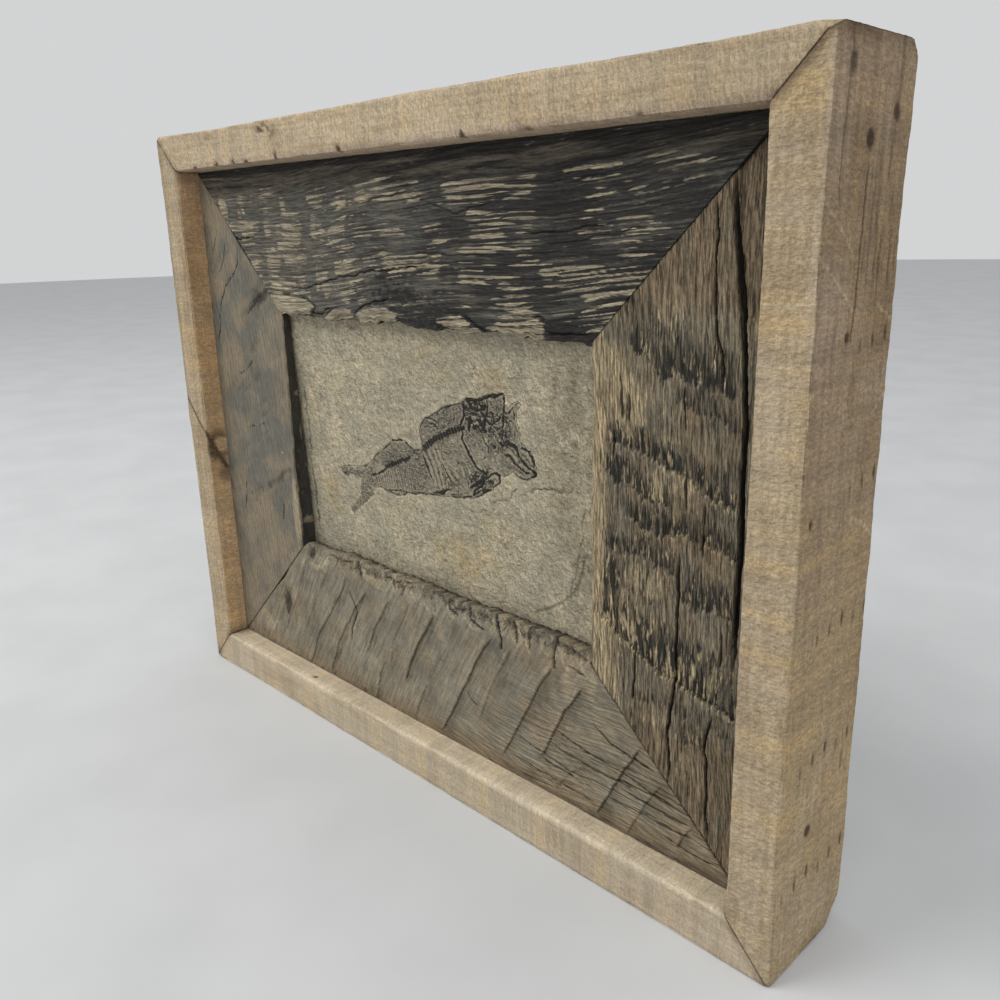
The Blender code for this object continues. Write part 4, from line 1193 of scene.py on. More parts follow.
def buildBottomBoard():
    piece, x, z, back, thick = barnBlank("bottom", bottomBoard)
    right = ease(x, 10, 70)
    v = z + 0.0022 * np.clip(88 - x, 0, 60) ** 2 * right + 0.8 * clouds(x, z, 30, 10, 40, 2)
    grain = clouds(x, v, 28, 0.8, 41, 4, 0.62)
    flow = clouds(x + 0.7 * z, z - 0.9 * x, 2.2, 16, 42, 3)  # fibres that run down the saw marks
    deep = 0.30 + 0.12 * grain * right + 0.05 * grain + 0.05 * flow * (1 - 0.6 * right)
    step, line, lip, bloom = sawSteps(x, z)
    deep = deep + 0.5 * step + 0.3 * line - 0.10 * lip - 0.14 * bloom
    cut, dark = grooves(x, z, bottomBoard["cracks"], 0.16)
    deep = deep + cut
    # growth rings in the lower right corner
    lower = right * ease(-z, -46, -34)
    rings = np.sin(2 * np.pi * v / 2.0 + 3.4 * clouds(x, v, 60, 4, 56, 3))
    rings = ease(rings, 0.5, 0.98) * ease(clouds(x, v, 26, 2.4, 57, 3), -0.35, 0.3)
    # the saw lines are darkened as painted shadow at their steps; the rings get dark grain
    dark = most(dark, 0.74 * line, 0.8 * lower * rings)
    deep = deep + 0.16 * lower * rings
    knotX, knotZ, sizeX, sizeZ = bottomBoard["knot"]
    fromKnot = np.hypot((x - knotX) / sizeX, (z - knotZ) / sizeZ)
    deep = deep + 0.9 * ease(1.1 - fromKnot, 0, 1)
    knot = ease(1.25 - fromKnot + 0.45 * clouds(x, z, 2.5, 5, 44, 3), 0, 1)
    # the torn upper edge: tufts of fibres that bend over the stone, with hollows behind them
    rise = np.clip((z - 57.0) / (places["openingBottom"] - 57.0), 0, 1)
    lift = 2.0 + 0.9 * clouds(x, x * 0, 9, 1, 45, 2) + 0.7 * clouds(x, z, 1.6, 2, 46, 3)
    tear = 1.6 * clouds(x, z, 6, 6, 52, 2)
    mitre = mitreDistance(x, z)
    calm = ease(mitre, 0, 4)
    z = z + lift * rise ** 2 * calm * (1 - 0.3 * back)
    torn = ease(z + tear, 60, 65)
    hair = clouds(x + 0.7 * (z - 60), 0.35 * z, 0.9, 2.4, 47, 4, 0.65)
    crest, hollow = tuftCover(x, z)
    raised = 0.45 * crest * (0.4 + 0.6 * rise)
    deep = deep + calm * (1.6 * rise ** 3 + torn * (0.2 + 0.14 * hair) + 0.8 * hollow - raised)
    deep = deep + calm * torn * 0.25 * clouds(x, z, 2.6, 1.6, 60, 3)
    brow = 0.5 * calm * ease(z, 64.5, 67.5) * ease(hair, -0.5, 0.3)
    # dark fibres at the torn edge, painted shade in the hollows behind the tufts, a dark band along the top
    # and dark mitre lines
    dark = most(
        dark, calm * torn * ease(hair, 0.2, 0.75) * 0.55 * (1 - 0.8 * crest),
        calm * hollow * (0.45 + 0.35 * ease(hair, -0.3, 0.5)) * (x > -30),
        brow * (1 - 0.6 * crest) * ease(x, -60, 20), 0.6 * ease(0.8 - mitre, 0, 0.6))
    pale = patches(x, z, bottomBoard["paleSpots"])
    # painted highlight along each saw mark's raised lip
    pale = pale * (0.85 + 0.5 * clouds(x, z, 5, 5, 49, 3)) + 0.4 * lip * (1 - right * 0.4)
    pale = most(
        pale, 0.85 * bloom * (0.9 + 0.5 * clouds(x, z, 2.5, 4, 34, 3)), crest * (0.75 + 0.4 * hair),
        0.62 * torn * ease(-hair, 0, 0.5))
    strips = clouds(x + 0.62 * z, z * 0.1, 7, 9, 50, 2)
    warm = 0.30 + 0.3 * right + 0.6 * ease(-z, -23, -17) + 0.2 * strips + 0.2 * ease(-x, 80, 100)
    # painted shade in the hollows on the left part of the edge
    charAndShade = 0.06 + 0.06 * strips + 0.45 * hollow * (x < -30) + 0.10 * right
    charAndShade = np.maximum(charAndShade + 0.14 * torn + 0.35 * ease(-z, -18.5, -15.5), knot * 0.85)
    # painted shade beyond each saw step and a painted highlight on its lip, over the board's own changes of
    # tone
    shadeAndTone = 0.56 + 0.2 * clouds(x, z, 10, 8, 55, 4, 0.6) + 0.08 * strips - 0.36 * step + 0.16 * lip
    smudges = patches(x, z, bottomBoard["smudges"])
    masks = {
        "flow": v,
        "slant": 1 - ease(0.6 * x - (z - 30), 0, 25),
        "shadeAndTone": shadeAndTone - 0.28 * smudges * (0.7 + 0.6 * clouds(x, z, 3, 3, 59, 3)),
        "pale": pale * (1 - dark) * (1 - knot) * (back < 0.4),
        "dark": np.maximum(charAndShade, 0.75 * back),
        "warm": warm + 0.5 * knot,
        "crack": dark,
    }
    dressBarn(piece, masks, x, z, back, thick, deep)
    joinOnto(piece, addHairs("tornFibres", bottomBoard["hairs"], places["openingBottom"] + 1.2))
    coverBarn(piece, "bottom", bottomBoard)


rightBoard = {
    "stepAlong": 0.75,
    "stepAcross": 0.28,
    "looks": {
        "grey": (118, 110, 93), "brown": (117, 102, 81), "tan": (160, 144, 114), "black": (37, 36, 33),
        "grainLow": 0.5, "grainHigh": 1.4, "pores": 0.3, "bump": 0.4, "stretch": 0.10, "mixing": 3.0,
        "paleMixing": 2.2, "relief": 0.42},
    "slot": "brown_barnwood",
    "seed": 3,
    "thickness": (3.5, 7),
    "longSplit": ((120, 78), (120.3, 118), (120, 141), (118.3, 162), (116.3, 176), (114.2, 197)),
    "cracks": (
        (((114.2, 197), (115, 186), (116.3, 176), (117.4, 168), (118.3, 162), (119, 155), (119.5, 148),
         (120, 141), (119.8, 130), (120.3, 118), (120.2, 100), (120, 78)), 1.6, 2.4),
        (((109.7, 191), (110.5, 183), (110, 178), (110.5, 168), (111.3, 161), (113, 156), (113.5, 150)),
         0.7, 1.3),
        (((102.9, 106), (102.9, 98), (103, 93), (103, 80), (103, 70), (102, 62), (101, 53), (102, 44),
         (101.7, 37)), 1, 1.7),
        (((114.8, 64), (113, 58), (112.6, 52), (113.4, 50), (114, 40), (113.7, 35), (114.4, 31),
         (115, 27)), 0.8, 1.2), (((89.8, 74), (89.4, 65), (89, 59)), 0.7, 1),
        (((104, 126), (104.3, 121), (104.5, 117)), 0.5, 0.7),
        (((102.6, 148), (103.2, 143), (103.6, 137)), 0.5, 0.6),
        (((83.2, 150), (84, 146), (84.4, 138)), 0.5, 0.5),
        (((86.2, 145), (86.4, 141), (86, 137)), 0.4, 0.4),
        (((110, 120), (109.8, 114), (110, 106)), 0.6, 0.8),
        (((116, 88), (116.4, 83), (116.2, 78)), 0.5, 0.6),
        (((81, 135), (81.6, 131), (81.4, 127)), 0.5, 0.5)),
    "bands": (  # lower edge line, height that the dark fades over, strength, how sharp its ledge is
        (((86, 157), (92, 152), (96, 150), (103, 149.6), (110, 148.5), (117, 146)), 13, 0.85, 0.35),
        (((100, 144), (108, 142.5), (114, 141), (119, 139)), 6, 0.6, 0.2),
        (((76, 122.5), (80, 122), (86, 120.5), (92, 118), (100, 116)), 8, 0.95, 0.35),
        (((79, 131), (86, 131), (93, 129), (100, 127), (105, 125), (110, 122), (119, 119.5)),
         9, 0.78, 0.8),
        (((86, 112), (96, 108.5), (104, 110.5), (112, 109), (120, 106.8)), 8, 0.8, 0.75),
        (((77, 103), (84, 100.5), (90, 101.5), (97, 101), (103, 98)), 8, 0.8, 0.35),
        (((77, 90), (83, 87), (88, 91), (97, 89)), 11, 0.55, 0.2),
        (((103, 92.6), (110, 92.2), (120, 90.6)), 11, 0.85, 0.5),
        (((76.5, 81.5), (83, 77.8), (90, 74), (97, 71), (104, 69.3), (113, 67), (122, 64.5)),
         16, 1, 1), (((89, 58), (95, 60), (104, 61), (113, 59), (121, 58)), 5, 0.5, 0.2),
        (((104, 52.5), (110, 53), (113, 54)), 7, 0.8, 0.2)),
    "charSpots": (
        (81, 94, 3.4, 6.5, 1), (80, 105, 5, 4, 0.7), (95, 102, 4, 3, 0.7), (92, 50, 3, 6, 0.5),
        (86, 167, 8, 3, 0.5), (97, 160, 10, 5, 0.55), (115, 118, 5, 8, 0.45), (108, 96, 12, 4, 0.3),
        (110, 146, 6, 4, 0.6), (119, 100, 2, 60, 0.4), (106, 32, 3, 8, 0.2)),
    "clearSpots": (
        (107, 172, 10, 9, 0.9), (83, 147, 7, 7, 0.9), (76, 140, 3, 30, 0.9), (82, 68, 8, 9, 1),
        (105, 123, 4, 2.2, 0.9), (107, 87, 5, 4, 0.75), (96, 45, 5, 9, 0.6), (92, 96, 6, 4, 0.5),
        (75.5, 95, 2, 26, 0.8), (117, 70, 3, 5, 0.5), (97, 56, 4, 3, 0.7), (118, 195, 6, 20, 0.9),
        (115, 104, 5, 2, 0.6)),
    "tanSpots": (
        (80, 148, 5.5, 9, 0.8), (86, 142, 7, 8, 0.6), (80, 68, 5, 12, 0.75), (75.8, 115, 3, 50, 0.9),
        (97, 124, 4, 3, 0.4), (93, 95, 7, 5, 0.4), (78, 62, 3, 9, 0.4), (97, 56, 4, 2.5, 0.35),
        (103, 123, 4, 3, 0.5), (104, 47, 3, 8, 0.25), (100, 138, 6, 5, 0.3), (98, 166, 5, 4, 0.3),
        (90, 84, 10, 8, 0.18), (110, 74, 8, 5, 0.15)),
}


def charBands(x, z, strand, deep, dark):
    # bands that darken down to a lower edge line, each with a small ledge there
    charAndShade = patches(x, z, rightBoard["charSpots"], -0.35) * 0.8
    ledge = np.zeros_like(x)
    wander = 1.1 * clouds(x, z, 3.5, 3.5, 67, 4) + 1.2 * strand
    for path, height, strength, sharp in rightBoard["bands"]:
        px, pz = zip(*path)
        above = z - np.interp(x, px, pz) - (1 - 0.7 * sharp) * wander - 0.25 * wander
        live = ease(x, px[0] - 2, px[0] + 2.5) * ease(-x, -px[-1] - 2, -px[-1] + 2)
        fade = np.clip(1 - above / height, 0, 1)
        charAndShade = np.maximum(charAndShade, strength * live * ease(above, -0.2, 0.5) * fade ** 0.55)
        deep = deep + 0.55 * sharp * live * np.clip(1 - above / 9.0, 0, 1) ** 1.5 * (above > 0)
        ledge = np.maximum(ledge, live * sharp * np.exp(-((above + 0.7) / 0.6) ** 2))
        dark = np.maximum(dark, 0.6 * live * sharp * np.exp(-((above - 0.35) / 0.35) ** 2))
    charAndShade = charAndShade * (1 - patches(x, z, rightBoard["clearSpots"])) * (1 - 0.8 * ledge)
    return charAndShade, ledge, deep - 0.16 * ledge, dark


def buildRightBoard():
    piece, x, z, back, thick = barnBlank("right", rightBoard)
    v = x + 0.6 * clouds(z, x, 30, 12, 61, 2) + 0.12 * clouds(z, x, 6, 3, 60, 2)
    streak = clouds(z, v, 14, 0.55, 62, 4, 0.62)
    strand = clouds(z, v, 5, 0.7, 63, 3)
    cut, dark = grooves(x, z, rightBoard["cracks"], 0.17, 65)
    deep = cut + 0.38 + 0.17 * streak + 0.09 * strand + 0.2 * clouds(z, x, 40, 20, 66, 2)
    charAndShade, ledge, deep, dark = charBands(x, z, strand, deep, dark)
    deep = deep + 0.12 * charAndShade * clouds(z, v, 3, 0.6, 64, 3)
    # the strip beyond the long split has dropped, and a chip of it stands
    splitX, splitZ = zip(*rightBoard["longSplit"])
    beyond = x - np.interp(z, splitZ, splitX)
    dropped = ease(beyond, 0.2, 0.9) * ease(z, 163, 166)
    chip = ease(beyond, 0.2, 0.6) * ease(z, 141, 143) * ease(-z, -163, -160)
    deep = deep + 0.9 * dropped - 0.25 * chip
    dark = np.maximum(dark, 0.7 * ease(-streak, 0.5, 0.85) * (1 - 0.6 * dropped))
    edge = ease(-x, -places["openingX"] - 2.5, -places["openingX"])
    deep = deep + 0.6 * edge ** 2
    mitre = mitreDistance(x, z)
    x = x + edge * ease(mitre, 0, 3) * 0.5 * clouds(z, x * 0, 7, 1, 68, 3)
    pale = patches(x, z, rightBoard["tanSpots"]) * (1.25 + 0.4 * strand)
    pale = pale + 0.5 * ledge + 0.72 * charAndShade * ease(strand, -0.05, 0.4)
    warm = 0.45 + 0.35 * ease(z, 163, 172) + 0.3 * ease(-z, -62, -50) + 0.25 * clouds(z, x, 14, 7, 69, 3)
    masks = {
        "flow": v,
        "pale": pale * (back < 0.5),
        "dark": np.maximum(0.06 + 0.92 * charAndShade, 0.6 * back) + 0.2 * dropped,
        "warm": warm + 0.3 * dropped,
        "crack": np.maximum(dark, 0.4 * ease(0.8 - mitre, 0, 0.6)),
    }
    dressBarn(piece, masks, x, z, back, thick, deep)
    coverBarn(piece, "right", rightBoard)


leftBoard = {
    "stepAlong": 0.9,
    "stepAcross": 0.4,
    "looks": {
        "grey": (109, 106, 96), "brown": (130, 118, 99), "tan": (158, 145, 121), "black": (50, 48, 44),
        "grainLow": 0.9, "grainHigh": 1.07, "pores": 0.82, "bump": 0.14, "stretch": 0.3, "mixing": 0.5,
        "paleMixing": 0.8, "relief": 0.2},
    "slot": "grey_barnwood",
    "seed": 4,
    "thickness": (3.5, 7),
    "darkBands": (  # line, width, strength
        (((-76, 95), (-90, 90), (-100, 85), (-127, 73)), 5, 0.2),
        (((-121, 172), (-100, 180), (-90, 184)), 5.5, 0.16),
        (((-84, 166), (-93, 160), (-101, 155)), 5.5, 0.16)),
    "charSpots": ((-90, 140, 18, 42, 1),),
    "warmSpots": ((-104, 132, 14, 12, 1), (-104, 158, 12, 5, 0.8)),
    "paleSpots": (
        (-75.5, 80, 2.6, 16, 0.7), (-98, 98, 5, 1.5, 0.3), (-115, 93, 5, 1.5, 0.3), (-82, 103, 1, 0.5, 1),
        (-118, 55, 8, 14, 0.3), (-100, 60, 8, 10, 0.25), (-108, 190, 6, 6, 0.2)),
    "sideHollows": ((98, 0, 6, 9, 1), (84, 0, 4, 9, 1), (71.5, 0, 4, 9, 1), (146, 0, 3, 9, 0.4)),
    "sideBridges": ((76, 0.7, 1.6, 0.5, 1), (127, 0.85, 1.2, 0.3, 0.9), (113, 0.8, 5, 0.2, 0.6)),
    "cracks": (
        (((-116, 186), (-118, 182), (-121, 178)), 0.4, 0.3),
        (((-100, 180), (-104, 172), (-113, 165), (-118, 160), (-121, 150), (-124, 140)), 0.6, 0.5),
        (((-86, 164), (-93, 159), (-100, 155)), 0.5, 0.25),
        (((-112, 86), (-114, 79), (-116, 73)), 0.6, 0.4), (((-85, 82), (-85.6, 79), (-86, 75)), 0.6, 0.4),
        (((-98, 138), (-104, 133), (-109, 131)), 0.5, 0.25),
        (((-92, 114), (-99, 111), (-106, 110)), 0.4, 0.2),
        (((-110, 182), (-112, 176), (-117, 171)), 0.5, 0.3)),
}


def buildLeftBoard():
    piece, x, z, back, thick = barnBlank("left", leftBoard)
    grain = clouds(z, x, 30, 1.2, 81, 4, 0.55)
    brushed = clouds(x + 0.5 * z, z - 0.5 * x, 16, 2.4, 82, 4)
    mottle = clouds(x, z, 7, 6, 87, 4, 0.6)
    sweep = clouds(x + 0.9 * z, z - 0.9 * x, 34, 6.5, 88, 3)
    deep, dark = grooves(x, z, leftBoard["cracks"], 0.5, 83)
    deep = deep + 0.3 + 0.07 * grain + 0.08 * brushed + 0.25 * clouds(z, x, 45, 25, 84, 2) + 0.04 * mottle
    charAndShade = 0.16 + 0.14 * brushed + 0.18 * mottle
    for path, width, strength in leftBoard["darkBands"]:
        charAndShade = charAndShade + strength * ease(width - nearLine(x, z, path, 7)[0] + mottle, 0, 5)
    charAndShade = charAndShade + 0.12 * patches(x, z, leftBoard["charSpots"]) + 0.1 * ease(z, 150, 190)
    warm = 0.42 + 0.25 * clouds(x, z, 14, 11, 85, 3) + 0.26 * sweep
    warm = warm + 0.3 * ease(0.45 * (z - 172) - x, 117, 123)
    warm = warm + 0.3 * ease(-z, -90, -60) + 0.25 * patches(x, z, leftBoard["warmSpots"])
    pale = patches(x, z, leftBoard["paleSpots"])
    # the opening side is a rough dark strip with deeper hollows
    edge = ease(x, -places["openingX"] - 2, -places["openingX"])
    deep = deep + 0.5 * edge ** 2
    mitre = mitreDistance(x, z)
    wall = ease(x, -74.6, -74) * ease(mitre, 0, 3)
    hollows = patches(z, z * 0, leftBoard["sideHollows"])
    rough = clouds(z, back * 4, 3.5, 1.4, 86, 3)
    bridges = patches(z, back, leftBoard["sideBridges"])
    x = x + wall * (0.45 * rough - 0.9 * hollows * np.sin(np.pi * np.clip(back * 1.1, 0, 1)) - 0.45)
    masks = {
        "flow": x,
        "pale": pale * (back < 0.2),
        "dark": np.where(back > 0.1, 0.9 + 0.35 * rough - 0.7 * bridges, charAndShade),
        "warm": warm,
        "crack": np.maximum(dark, 0.4 * ease(1.0 - mitre, 0, 0.8)),
    }
    dressBarn(piece, masks, x, z, back, thick, deep)
    coverBarn(piece, "left", leftBoard)


# Stone and fish.

stone = {
    "looks": {
        "dull": (160, 153, 133), "bright": (180, 169, 144),
        "stainAndShade": (112, 100, 76), "yellow": (176, 152, 104)},
    "bounds": (-81, 81, 58, 164),
    "step": 0.5,
    "depthTop": 4.1,
    "depthBottom": 7.5,
    "back": 6.7,
    "lumps": 0.2,
    "waves": 0.12,
    "pits": 0.09,
    "flake": 0.13,
    "yellowSpots": (
        (-60, 88, 8, 9, 0.7), (14, 81, 16, 9, 0.8), (5, 145, 15, 7, 0.45), (31, 142, 8, 5, 0.6),
        (30, 95, 9, 8, 0.4), (-20, 90, 10, 6, 0.3), (-66, 120, 5, 20, 0.3)),
    "lightSpots": ((52, 70, 12, 5, 0.9), (62, 85, 5, 9, 0.5), (-55, 120, 14, 30, 0.35)),
    # darker stains; the wide band at the top is painted shadow under the top board
    "stainAndShadeSpots": (
        (-9, 119, 4.5, 1.6, 0.8), (-30, 118, 7, 3, 0.15), (-72, 100, 3, 25, 0.3), (0, 158, 70, 3.5, 0.25),
        (68, 120, 18, 50, 0.62)),
    "cracks": (
        (((45, 109), (48, 111), (55, 112), (62, 113)), 0.5, 0.5),
        (((37.2, 105.5), (37.8, 108), (40, 109.8)), 0.45, 0.5),
        (((29, 103), (31, 104), (36, 105.3)), 0.4, 0.4), (((68, 145), (69, 142), (70, 140)), 0.5, 0.2),
        (((67, 110), (66, 100), (63, 90), (60, 78)), 0.5, 0.25),
        (((-50, 150), (-46, 146), (-43, 140)), 0.5, 0.1), (((60, 145), (64, 139), (70, 136)), 0.5, 0.15),
        (((55, 128), (60, 124), (66, 122)), 0.4, 0.12), (((22, 98), (25, 100), (33, 99.6)), 0.3, 0.1),
        (((-71.6, 130), (-71, 118), (-71.3, 102)), 0.9, 0.5),
        (((-73, 98), (-71.6, 90), (-72.2, 83), (-71, 77), (-72, 70)), 1.2, 0.8)),
    "ledge": ((66, 94), (65, 88), (62, 82), (57, 77), (52, 74), (46, 71)),
}

